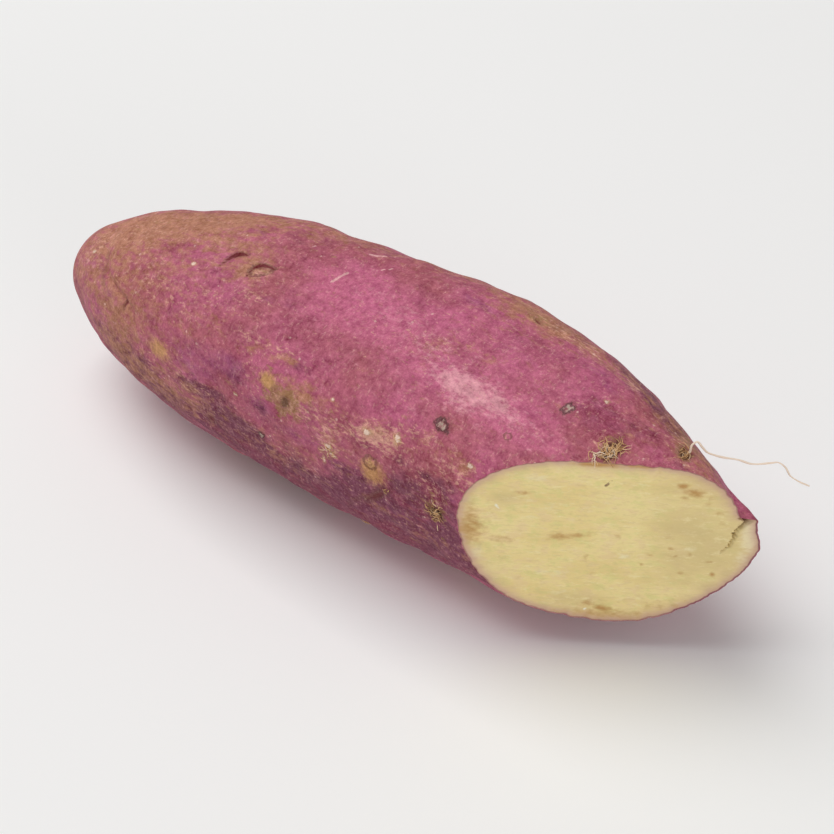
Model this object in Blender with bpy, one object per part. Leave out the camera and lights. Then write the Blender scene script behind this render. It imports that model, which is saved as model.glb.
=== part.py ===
"""A purple-skinned sweet potato lying on its side, its far end cut off at a slant.

The root grew as one piece, so it is one closed solid. Metres, with +Z up and +X running from
the blunt end to the cut. The rings of a sphere are carried along the root: the first rings lie
on the skin, between the blunt tip and the knife's cut, and the last ones draw in across the
flat cut face. A station is the distance along the root from the blunt tip. An angle goes round
the root from the top, 0, over the front side at -Y, a quarter turn.
"""

import math

import bmesh
import bpy
import numpy as np
from mathutils import Matrix, Vector

# The root's thickness: a station, and the mean radius of the root there.
GIRTH = (
    (0.000, 0.0000),
    (0.002, 0.0065),
    (0.008, 0.0120),
    (0.020, 0.0180),
    (0.046, 0.0243),
    (0.071, 0.0260),
    (0.101, 0.0270),
    (0.126, 0.0250),
    (0.151, 0.0200),
    (0.176, 0.0160),
)

# The root's bend: a station, and how far its middle lies towards +Y there.
SWAY = (
    (0.000, -0.0020),
    (0.036, 0.0010),
    (0.071, 0.0025),
    (0.106, 0.0037),
    (0.146, -0.0025),
    (0.181, -0.0155),
)

# How high the middle of the root lies over the surface at a station.
RISE = (
    (0.000, 0.0245),
    (0.036, 0.0260),
    (0.071, 0.0270),
    (0.106, 0.0280),
    (0.146, 0.0290),
    (0.181, 0.0295),
)

# Broad ridges that run along the root: how many go round it, their share of the radius, and
# the angle of one crest. They rise from nothing at the tip to full height at RIDGE_START.
RIDGES = (
    (3, 0.036, math.radians(54)),
    (4, 0.015, math.radians(-23)),
    (5, 0.021, math.radians(-23)),
)
RIDGE_START = 0.060

# Slow swells of the skin: height, waves along the root per metre, waves round it, and phase.
SWELLS = (
    (0.00010, 23.0, 1, 0.4),
    (0.00008, 37.0, -2, 2.1),
    (0.00006, 58.0, 3, 4.0),
)
SWELL_START = 0.030

# Eyes and scars: station, angle, radius, and height of the middle over the skin.
EYES = (
    (0.0471, math.radians(15), 0.0030, -0.0010),
    (0.0539, math.radians(18), 0.0030, -0.0008),
    (0.0272, math.radians(59), 0.0032, -0.0009),
    (0.0972, math.radians(76), 0.0026, 0.0006),
    (0.1092, math.radians(46), 0.0024, 0.0006),
    (0.1277, math.radians(8), 0.0024, -0.0006),
    (0.1125, math.radians(84), 0.0026, -0.0007),
    (0.1394, math.radians(12), 0.0026, -0.0006),
    (0.0640, math.radians(-96), 0.0034, -0.0010),
    (0.1010, math.radians(-122), 0.0030, -0.0008),
    (0.1300, math.radians(-75), 0.0028, 0.0006),
)

# Broad hollows, given in the same way: beside the blunt end's nub, over it, and low at the cut.
HOLLOWS = (
    (0.0100, math.radians(95), 0.0070, -0.0010),
    (0.0260, math.radians(-25), 0.0120, -0.0007),
    (0.1538, math.radians(200), 0.0070, -0.0008),
)

# The cut: an upright plane. Its outward normal is turned this far from +X towards the front,
# and the plane stands this far along that normal from where the tip would be with no sway.
CUT_TURN = math.radians(55.7)
CUT_REACH = 0.0852

# A crease that crosses the blunt end: its angle, and its station there. Then its depth, its
# half width, and how far it takes to fade at each end.
CREASE = (
    (math.radians(14), 0.0115),
    (math.radians(32), 0.0138),
    (math.radians(48), 0.0175),
    (math.radians(62), 0.0290),
)
CREASE_DEPTH = 0.0008
CREASE_HALF_WIDTH = 0.0020
CREASE_FADE = math.radians(9)

# The torn sliver at the cut's far edge: the angle of its free tip at the crack's mouth, the
# angle where it still joins the rim, how far its tip stands out across the cut, how far the
# rim over the mouth is chipped back, and the reach of both back along the root.
SLIVER_TIP = math.radians(292)
SLIVER_JOIN = math.radians(258)
SLIVER_STANDS = 0.0015
CHIP_END = math.radians(308)
CHIP_DEPTH = 0.0019
SLIVER_REACH = 0.005
MOUTH_SPREAD = math.radians(2.5)
TORN_EASING = 4  # the power by which the tearing dies away from the rim across the face

# The crack that frees the sliver: where it opens past the rim and where it ends, both from
# the middle of the cut face, across and up. Then its width at the mouth, its depth along the
# grain, and the turn of the grain from +X towards the front there.
CRACK_MOUTH = Vector((0.0236, 0.0090))
CRACK_END = Vector((0.0184, -0.0020))
CRACK_WIDTH = 0.0020
CRACK_DEPTH = 0.0080
GRAIN_TURN = math.radians(19)

# How finely the solid is faceted.
SIDES = 84
SKIN_RINGS = 46
FACE_RINGS = 10
RINGS = SKIN_RINGS + FACE_RINGS
RING_CROWDING = 1.35
SEARCH_STEPS = 40
LONGEST_STATION = 0.180

SHARP_ANGLE = math.radians(40)

# Each finish: its colour and its roughness. The flesh shows on the cut face and in the crack.
SKIN = ((0.34, 0.09, 0.16, 1.0), 0.62)
FLESH = ((0.69, 0.60, 0.30, 1.0), 0.50)


def clear_scene():
    """Removes every object that is already there."""
    for old in list(bpy.data.objects):
        bpy.data.objects.remove(old, do_unlink=True)


def smooth_through(points, at):
    """A smooth curve through (position, value) points, read at an array of positions."""
    position, value = np.array(points, float).T
    slope = np.gradient(value, position)
    left = np.clip(np.searchsorted(position, at) - 1, 0, len(position) - 2)
    gap = position[left + 1] - position[left]
    t = (at - position[left]) / gap
    return (
        (2 * t**3 - 3 * t**2 + 1) * value[left]
        + (t**3 - 2 * t**2 + t) * gap * slope[left]
        + (3 * t**2 - 2 * t**3) * value[left + 1]
        + (t**3 - t**2) * gap * slope[left + 1]
    )


def mean_radius(station):
    """Read against the root of the station, so that the blunt tip comes out round."""
    roots = [(math.sqrt(place), radius) for place, radius in GIRTH]
    return smooth_through(roots, np.sqrt(station))


def turn_between(angle, other):
    """The signed turn from one angle to another, the short way round."""
    return (angle - other + math.pi) % (2 * math.pi) - math.pi


def eye_height(station, angle, radius):
    """Bell-shaped dents and bumps, each measured across the skin from its own middle."""
    height = np.zeros_like(radius)
    for place, heading, size, rise in EYES + HOLLOWS:
        along = station - place
        around = turn_between(angle, heading) * radius
        height += rise * np.exp(-(along**2 + around**2) / size**2)
    return height


def crease_depth(station, angle):
    """A shallow trough that follows the crease's line and fades past its ends."""
    first, last = CREASE[0][0], CREASE[-1][0]
    turn = turn_between(angle, 0)
    middle = smooth_through(CREASE, np.clip(turn, first, last))
    past = np.maximum(np.maximum(first - turn, turn - last), 0) / CREASE_FADE
    across = (station - middle) / CREASE_HALF_WIDTH
    return CREASE_DEPTH * np.exp(-(across**2) - past**2)


def skin_radius(station, angle):
    """How far the skin lies from the root's middle line."""
    radius = mean_radius(station)
    ridge = sum(
        share * np.cos(count * (angle - crest)) for count, share, crest in RIDGES
    )
    swell = sum(
        height * np.sin(2 * math.pi * waves * station + turns * angle + phase)
        for height, waves, turns, phase in SWELLS
    )
    radius = radius * (1 + ridge * np.clip(station / RIDGE_START, 0, 1))
    radius = radius + swell * np.clip(station / SWELL_START, 0, 1)
    return radius + eye_height(station, angle, radius) - crease_depth(station, angle)


def skin_point(station, angle):
    """Points of the skin as an array with x, y and z in its last axis."""
    radius = skin_radius(station, angle)
    return np.stack(
        [
            station + np.zeros_like(angle),
            smooth_through(SWAY, station) - radius * np.sin(angle),
            smooth_through(RISE, station) + radius * np.cos(angle),
        ],
        axis=-1,
    )


def cut_normal():
    """The way the cut face looks: out of the root, level, and towards the front."""
    return np.array([math.cos(CUT_TURN), -math.sin(CUT_TURN), 0.0])


def cut_station(angle):
    """Where the skin at each angle runs into the knife, found by halving the gap."""
    low = np.zeros_like(angle)
    high = np.full_like(angle, LONGEST_STATION)
    for _ in range(SEARCH_STEPS):
        middle = (low + high) / 2
        inside = skin_point(middle, angle) @ cut_normal() < CUT_REACH
        low = np.where(inside, middle, low)
        high = np.where(inside, high, middle)
    return (low + high) / 2


def across_cut():
    """The level way across the cut face, towards the root's back."""
    out = cut_normal()
    return np.array([-out[1], out[0], 0.0])


def torn_rim(angle):
    """How far the rim is moved across the cut: out along the sliver, and in at the chip."""
    angle = angle % (2 * math.pi)
    past_tip = np.clip((angle - SLIVER_TIP) / MOUTH_SPREAD, 0, 1)
    sliver = np.clip((angle - SLIVER_JOIN) / (SLIVER_TIP - SLIVER_JOIN), 0, 1)
    chip = np.clip((CHIP_END - angle) / (CHIP_END - SLIVER_TIP), 0, 1)
    return SLIVER_STANDS * sliver * (1 - past_tip) - CHIP_DEPTH * chip * past_tip


def root_points(ring, angle):
    """Moves each ring of the sphere to the skin or across the cut face."""
    end = cut_station(angle)
    station = end * np.clip(ring / SKIN_RINGS, 0, 1) ** RING_CROWDING
    points = skin_point(station, angle)
    rim_angles = np.linspace(0, 2 * math.pi, SIDES, endpoint=False)
    middle = skin_point(cut_station(rim_angles), rim_angles).mean(axis=0)
    inward = np.clip((ring - SKIN_RINGS) / FACE_RINGS, 0, 1)
    points = points + (middle - points) * inward[:, None]
    back = np.exp(-(((end - station) / SLIVER_REACH) ** 2))
    torn = torn_rim(angle) * back * (1 - inward) ** TORN_EASING
    points = points + torn[:, None] * across_cut()
    points[:, 2] = np.maximum(points[:, 2], 0.0)
    return points, middle


def move_to_frame(mesh):
    """Puts the origin under the middle of the root's box, on the surface it lies on."""
    corners = np.array([vertex.co[:] for vertex in mesh.vertices])
    centre = (corners.min(axis=0) + corners.max(axis=0)) / 2
    shift = Vector((-centre[0], -centre[1], -corners[:, 2].min()))
    mesh.transform(Matrix.Translation(shift))
    return shift


def make_material(name, finish):
    """A plain material from a finish's colour and roughness."""
    colour, roughness = finish
    material = bpy.data.materials.new(name)
    material.use_nodes = True
    shader = material.node_tree.nodes["Principled BSDF"]
    shader.inputs["Base Color"].default_value = colour
    shader.inputs["Roughness"].default_value = roughness
    shader.inputs["Metallic"].default_value = 0.0
    return material


def make_root(collection, skin, flesh):
    """The root as one object. It also gives the middle of the cut face."""
    grid = bmesh.new()
    bmesh.ops.create_uvsphere(grid, u_segments=SIDES, v_segments=RINGS, radius=1.0)
    unit = np.array([vertex.co[:] for vertex in grid.verts])
    ring = np.rint(np.arccos(np.clip(unit[:, 2], -1, 1)) / math.pi * RINGS)
    angle = np.arctan2(unit[:, 1], unit[:, 0])
    points, face_middle = root_points(ring, angle)
    for vertex, point in zip(grid.verts, points):
        vertex.co = point
    for face in grid.faces:
        on_cut = all(ring[vertex.index] >= SKIN_RINGS for vertex in face.verts)
        face.material_index = 1 if on_cut else 0
    bmesh.ops.recalc_face_normals(grid, faces=grid.faces)
    mesh = bpy.data.meshes.new("sweet_potato")
    grid.to_mesh(mesh)
    grid.free()
    face_middle = Vector(face_middle) + move_to_frame(mesh)
    mesh.shade_smooth()
    mesh.set_sharp_from_angle(angle=SHARP_ANGLE)
    mesh.materials.append(skin)
    mesh.materials.append(flesh)
    root = bpy.data.objects.new("sweet_potato", mesh)
    collection.objects.link(root)
    return root, face_middle


def cut_crack(root, face_middle, flesh, cutters):
    """Cuts the narrow wedge along the grain that parts the sliver from the other flesh."""
    grain = Vector((math.cos(GRAIN_TURN), -math.sin(GRAIN_TURN), 0.0))
    across = Vector(across_cut())
    up = Vector((0.0, 0.0, 1.0))
    mouth = face_middle + across * CRACK_MOUTH.x + up * CRACK_MOUTH.y
    end = face_middle + across * CRACK_END.x + up * CRACK_END.y
    run = mouth - end
    wedge = bmesh.new()
    bmesh.ops.create_cone(
        wedge, cap_ends=True, segments=4, radius1=1.0, radius2=0.0, depth=1.0
    )
    side = run.normalized().cross(grain)
    axes = Matrix((side * CRACK_WIDTH / 2, grain * CRACK_DEPTH, -run)).transposed()
    wedge.transform(Matrix.Translation((mouth + end) / 2) @ axes.to_4x4())
    mesh = bpy.data.meshes.new("crack")
    wedge.to_mesh(mesh)
    wedge.free()
    mesh.materials.append(flesh)
    cutter = bpy.data.objects.new("crack", mesh)
    cutter.hide_render = True
    cutter.display_type = "WIRE"
    cutters.objects.link(cutter)
    crack = root.modifiers.new("crack", "BOOLEAN")
    crack.operation = "DIFFERENCE"
    crack.solver = "EXACT"
    crack.material_mode = "TRANSFER"
    crack.object = cutter


def main():
    """Builds the root and cuts its crack."""
    clear_scene()
    collection = bpy.data.collections.new("sweet potato")
    cutters = bpy.data.collections.new("cutters")
    bpy.context.scene.collection.children.link(collection)
    bpy.context.scene.collection.children.link(cutters)
    skin = make_material("skin", SKIN)
    flesh = make_material("flesh", FLESH)
    root, face_middle = make_root(collection, skin, flesh)
    cut_crack(root, face_middle, flesh, cutters)


main()
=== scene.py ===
"""Looks of a purple-skinned sweet potato whose far end is cut off at a slant.

The root is one closed surface of rings. A station is the distance along the root from its blunt
tip. An angle goes round the root from the top, 0, over the front side at -Y, a quarter turn. The
rings run over the skin to the rim of the cut, then draw in across the cut face to its middle.
"""

import logging
import math
from dataclasses import dataclass
from enum import Enum
from typing import Any, Optional, Sequence, Union

import bpy
import numpy as np
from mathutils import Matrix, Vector


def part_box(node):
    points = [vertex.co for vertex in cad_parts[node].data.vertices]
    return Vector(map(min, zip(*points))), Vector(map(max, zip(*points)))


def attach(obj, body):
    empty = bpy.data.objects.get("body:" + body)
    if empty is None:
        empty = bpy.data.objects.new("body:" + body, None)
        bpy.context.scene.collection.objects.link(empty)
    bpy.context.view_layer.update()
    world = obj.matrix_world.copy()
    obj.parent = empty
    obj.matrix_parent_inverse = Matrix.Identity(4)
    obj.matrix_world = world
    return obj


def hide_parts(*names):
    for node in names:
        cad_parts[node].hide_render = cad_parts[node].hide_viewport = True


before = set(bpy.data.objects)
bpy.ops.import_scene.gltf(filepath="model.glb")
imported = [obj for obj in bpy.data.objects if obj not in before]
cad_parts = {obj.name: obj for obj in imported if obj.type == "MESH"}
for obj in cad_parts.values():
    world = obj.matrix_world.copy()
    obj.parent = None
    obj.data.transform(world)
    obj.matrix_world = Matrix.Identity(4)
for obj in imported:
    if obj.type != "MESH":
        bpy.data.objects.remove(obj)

LOG = logging.getLogger("sweet_potato")
MM = 0.001
BODY = "root"
NODE = "sweet_potato"
FULL_TURN = 2 * math.pi
NEARLY_UPRIGHT = 0.9
STEP_MM = 0.5
STEP_DEGREES = 1.0
QUAD_CORNERS = 4

Array = np.ndarray
Triple = tuple[float, float, float]
Colour = Triple


def smooth_through(points: Sequence[tuple[float, float]], at: Array) -> Array:
    """Reads a smooth curve through points: each gap is a cubic that keeps the slopes at its ends.

    Args:
        points: (position, value) pairs, in order of position.
        at: the positions to read.

    Returns:
        The values there.
    """
    position, value = np.array(points, float).T
    slope = np.gradient(value, position)
    left = np.clip(np.searchsorted(position, at) - 1, 0, len(position) - 2)
    gap = position[left + 1] - position[left]
    t = (at - position[left]) / gap
    return (
        (2 * t**3 - 3 * t**2 + 1) * value[left]
        + (t**3 - 2 * t**2 + t) * gap * slope[left]
        + (3 * t**2 - 2 * t**3) * value[left + 1]
        + (t**3 - t**2) * gap * slope[left + 1]
    )


def ease(value: Array, low: float, high: float) -> Array:
    """Rises smoothly from 0 at low to 1 at high, as 3 t squared less 2 t cubed."""
    t = np.clip((value - low) / (high - low), 0, 1)
    return t * t * (3 - 2 * t)


def turn_between(angle: Array, other: float) -> Array:
    """The signed turn from one angle to another, the short way round."""
    return (angle - other + math.pi) % FULL_TURN - math.pi


@dataclass(frozen=True)
class Places:
    """Places on the plain skin: each one's distance from the blunt tip, angle and radius."""

    station: Array
    angle: Array
    radius: Array

    def away_from(self, station: float, angle: float) -> tuple[Array, Array]:
        """How far each place lies from one of them, along the root and round it."""
        return self.station - station, turn_between(self.angle, angle) * self.radius


class MarkKind(Enum):
    """What a mark on the skin is."""

    EYE = "eye"
    NAIL_DENT = "nail_dent"
    SCAR = "scar"
    KNOB = "knob"
    SLIT = "slit"
    SCAB = "scab"
    SPOT = "spot"


@dataclass(frozen=True)
class Mark:
    """One mark on the skin, in millimetres and degrees.

    A dent or knob is measured from its middle: along the root and round it. The height is that
    of its middle over the skin, so a dent's is negative. Its lean turns it in the skin.
    """

    kind: MarkKind
    station: float
    degrees: float
    along: float
    around: float
    height: float
    lean: float = 0.0

    def lengths(self, skin: Places) -> tuple[Array, Array]:
        """Measures places from the mark's middle.

        Args:
            skin: the places.

        Returns:
            Lengths along and across the leaning mark, in metres.
        """
        forward, sideways = skin.away_from(self.station * MM, math.radians(self.degrees))
        cosine, sine = math.cos(math.radians(self.lean)), math.sin(math.radians(self.lean))
        return forward * cosine + sideways * sine, sideways * cosine - forward * sine

    def nearness(self, along: Array, around: Array) -> Array:
        """1 at the mark's middle, 0 at its edge, and less than 0 past it."""
        return 1 - np.hypot(along / (self.along * MM), around / (self.around * MM))


# Each mark's station, angle, size along, size round, height and, where it leans, its lean.
MARK_SIZES: dict[MarkKind, tuple[tuple[float, ...], ...]] = {
    MarkKind.NAIL_DENT: (
        (46.35, 14.9, 3.1, 1.5, -0.5, -51), (53.5, 15.7, 2.9, 2.1, -0.22, -46),
        (101, -122, 2.4, 1.5, -0.7, 15),
    ),
    MarkKind.SCAR: (
        (53.6, 15.8, 2.9, 1.8, -0.2, -40), (96.3, 75, 1.7, 1.8, -0.3),
        (122, 36.3, 0.9, 0.9, 0.1),
    ),
    MarkKind.SLIT: (
        (27.1, 61, 0.5, 1.6, -0.35, 6), (109, -22, 1.5, 0.6, -0.4, 15),
        (53.4, 103, 1.3, 1.6, -0.2, 25), (97.3, 94, 0.85, 5.2, -0.35, 43),
        (118, -100, 2.4, 0.7, -0.4, 30),
    ),
    MarkKind.EYE: (
        (112, 84.5, 2.2, 1.7, -0.4, -30), (139.5, 10, 1.5, 3.2, -0.35),
        (149.8, -25, 1.6, 2, -0.5), (74.6, 66.5, 1, 1.3, -0.15),
        (64, -96, 2.2, 1.8, -0.6), (88, 140, 1.8, 1.5, -0.4),
        (36, -140, 1.9, 1.6, -0.5),
    ),
    MarkKind.KNOB: (
        (109.2, 45.8, 2, 1.5, 0.35, 8), (127.6, 8.3, 1.2, 1.8, 0.25, 16),
        (68.2, 92, 0.9, 0.9, 0.2), (130, -75, 1.8, 1.6, 0.4),
    ),
    MarkKind.SCAB: (
        (94.8, 62, 1.1, 0.7, 0.25), (101.5, 59.5, 0.7, 1.1, 0.25), (118.3, 54.3, 0.9, 0.5, 0.2),
        (39, 26, 0.7, 0.5, 0.08), (85.3, 56.2, 0.5, 0.4, 0.1), (132.3, -8.5, 0.6, 0.5, 0.06),
        (10.5, 36.5, 0.6, 0.5, 0.05), (61.8, 75, 0.5, 0.4, 0.08), (86, 77, 1, 0.5, 0.15),
        (87.3, 80.5, 0.9, 0.5, 0.15), (84.6, 86.5, 0.5, 0.9, 0.15), (82, -66, 1.6, 1.4, 0.15),
    ),
    MarkKind.SPOT: (
        (40.4, 73.5, 3.2, 2.6, 0.08), (69.3, 60.5, 2.4, 2, 0.05), (96.8, 79.5, 3.4, 3.5, 0.05),
        (52, -70, 2.6, 2.2, 0.05), (112, 150, 2.4, 2.8, 0.05),
    ),
}

MARKS = tuple(Mark(kind, *sizes) for kind, rows in MARK_SIZES.items() for sizes in rows)


class LineKind(Enum):
    """What a line on the skin is."""

    WRINKLE = "wrinkle"
    SCRATCH = "scratch"


@dataclass(frozen=True)
class Line:
    """A line on the skin through (station, angle) places, in millimetres and degrees."""

    kind: LineKind
    places: tuple[tuple[float, float], ...]
    half_width: float
    height: float

    def nearness(self, skin: Places) -> Array:
        """1 on the line, 0 at its edges, and less than 0 past them.

        Args:
            skin: the places.

        Returns:
            1 less the distance to the line's nearest stretch, in half widths.
        """
        distance = np.full_like(skin.station, 1.0)
        for (start, turn), (end, last) in zip(self.places, self.places[1:]):
            ahead = (end - start) * MM
            round_it = math.radians(last - turn) * skin.radius
            forward, sideways = skin.away_from(start * MM, math.radians(turn))
            share = (forward * ahead + sideways * round_it) / (ahead**2 + round_it**2)
            share = np.clip(share, 0, 1)
            off = np.hypot(forward - share * ahead, sideways - share * round_it)
            distance = np.minimum(distance, off)
        return 1 - distance / (self.half_width * MM)


LOW_FOLD = ((99.2, 85.5), (97.6, 89), (96.2, 94.5), (93.5, 100), (91, 105), (89.2, 110))
LINES = (
    Line(LineKind.WRINKLE, LOW_FOLD, 0.9, -0.25),
    Line(LineKind.WRINKLE, ((15, 36), (15.8, 42), (16.6, 50), (18.5, 57)), 0.9, -0.08),
    Line(LineKind.SCRATCH, ((68, 5.2), (68.4, 1.2), (69.3, -2.6)), 0.5, 0.05),
    Line(LineKind.SCRATCH, ((57.6, -8), (58.4, -10.4)), 0.32, 0.03),
    Line(LineKind.SCRATCH, ((74, -10.6), (74.8, -12.4)), 0.34, 0.03),
    Line(LineKind.SCRATCH, ((75.6, -13.4), (76.3, -15.2)), 0.3, 0.03),
    Line(LineKind.SCRATCH, ((69.2, -18.5), (70.6, -19.8), (71.6, -23)), 0.5, 0.05),
    Line(LineKind.WRINKLE, ((60, -150), (66, -140), (74, -135)), 0.8, -0.2),
    Line(LineKind.WRINKLE, ((118, 168), (112, 176), (108, 188)), 0.8, -0.2),
    Line(LineKind.SCRATCH, ((92, -78), (95, -84)), 0.4, 0.05),
)


class FaceValue(Enum):
    """What each place of the cut face has: its way in from the rim, the crack and the rind."""

    INSET = "inset"
    GROOVE = "groove"
    RIND = "rind"


class FaceKind(Enum):
    """What a mark on the cut face is."""

    BROWN = "brown"
    NICK = "nick"
    DROP_AND_GLINT = "drop_and_glint"
    MILKY = "milky"
    TINGE = "tinge"


Patch = tuple[float, float, float, float, float]

# Each mark's place across the face and up it, its two sizes, all in millimetres, and its strength.
FACE_MARKS: dict[FaceKind, tuple[Patch, ...]] = {
    FaceKind.BROWN: (
        (-29, 2, 2.8, 5, 0.8), (-28.3, 0.5, 1.6, 2, 0.5), (-23.4, -1, 2.4, 1.3, 0.45),
        (-12.2, 0.3, 2.3, 0.9, 0.8), (-8.8, 1, 2.4, 0.7, 0.7), (-12.2, 0.2, 0.6, 0.5, 0.8),
        (-0.8, 1, 0.6, 0.5, 0.8), (-6.8, -5, 0.6, 1.5, 0.5), (-5.5, -9, 0.7, 0.5, 0.6),
        (3.9, -6.1, 0.5, 0.4, 0.7), (5.5, -3.5, 0.5, 0.5, 0.4), (9.3, -1.3, 0.6, 0.6, 0.8),
        (8.8, 1.5, 0.9, 0.9, 0.35), (10.3, -3.3, 0.4, 0.4, 0.6), (12.8, -2.5, 0.5, 0.4, 0.5),
        (11.5, -7.8, 0.7, 0.5, 0.5), (17, -4.4, 0.8, 0.3, 0.8), (17.6, -7.8, 0.6, 0.6, 0.9),
        (10.5, 15, 1.1, 0.7, 1.2), (13, 13.6, 1.9, 1.2, 0.9), (11, 12.2, 1.2, 0.7, 0.5),
        (15.6, 11.6, 0.8, 1.3, 0.5), (17.6, 8.5, 0.7, 0.7, 0.5), (18.4, 6, 0.5, 0.7, 0.5),
        (-19.4, 11.3, 1.4, 0.6, 0.6), (-5.6, 19.6, 4.5, 0.9, 1), (2.5, 19.7, 5, 0.7, 0.8),
        (-3, -18.4, 1.8, 0.9, 1), (-6, -17.6, 1.8, 0.9, 0.7), (-2, -20, 9, 1.4, 0.6),
        (9, -17, 4, 1.6, 0.4), (-19.2, -11.2, 0.9, 0.8, 0.35),
    ),
    # Nicks: small cuts, painted dark as the shade in them.
    FaceKind.NICK: (
        (-3.8, 14.2, 0.35, 0.3, 1), (-3.4, 14.8, 0.3, 0.3, 1), (-2.8, 15.5, 0.4, 0.25, 0.5),
    ),
    # Drops of white sap on the left; the one near the bottom is a painted highlight.
    FaceKind.DROP_AND_GLINT: (
        (-24.3, 7.7, 0.5, 0.4, 1), (-23.9, 7.1, 0.4, 0.3, 1), (-6.4, -19, 0.5, 0.45, 1),
    ),
    FaceKind.MILKY: (
        (-17, 15.5, 3, 1, 0.5), (-15, 7.6, 3, 1.6, 0.35), (-18, 5, 3, 0.7, 0.4),
        (0.3, -4, 1.2, 0.7, 0.8), (12.8, -1.2, 1.4, 0.9, 0.6), (-13, -9.5, 5, 1.4, 0.4),
        (-11, -14.5, 4, 1.6, 0.35), (-28, -5, 2, 2.6, 0.5), (23.8, 3, 1.6, 5, 0.9),
        (23, -3, 2, 3.5, 0.5),
    ),
    FaceKind.TINGE: (
        (-22.5, 9.5, 3.5, 2.5, 0.35), (-24, -9, 4, 4, 0.3), (-8, -17, 6, 3, 0.4),
        (17, -11, 5, 3, 0.5), (10, 9, 10, 8, 0.35), (16, 0, 12, 16, 0.5),
        (20, -7, 2, 4, 0.5),
    ),
}


def face_field(kind: FaceKind, across: Array, up: Array) -> Array:
    """How near each place of the cut face is to a mark of one kind.

    Args:
        kind: which marks.
        across: lengths across the face from its middle.
        up: heights over its middle.

    Returns:
        The strongest mark's bell, e to the minus the squared distance in units of its size.
    """
    amount = np.zeros_like(across)
    for middle, height, wide, high, strength in FACE_MARKS[kind]:
        aside = (across / MM - middle) / wide
        above = (up / MM - height) / high
        amount = np.maximum(amount, strength * np.exp(-(aside**2) - above**2))
    return amount


class Paint(Enum):
    """A colour that lies over the plain skin in broad soft patches. The plum and wine patches along
    the low side and in the creases are painted shade, and the bloom patches along the top are partly
    a painted highlight.
    """

    PINK = "pink"
    VIOLET = "violet"
    PLUM_AND_SHADE = "plum_and_shade"
    WINE_AND_SHADE = "wine_and_shade"
    CORK = "cork"
    OLIVE = "olive"
    BLOOM = "bloom_and_highlight"
    FROST = "frost"


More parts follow.
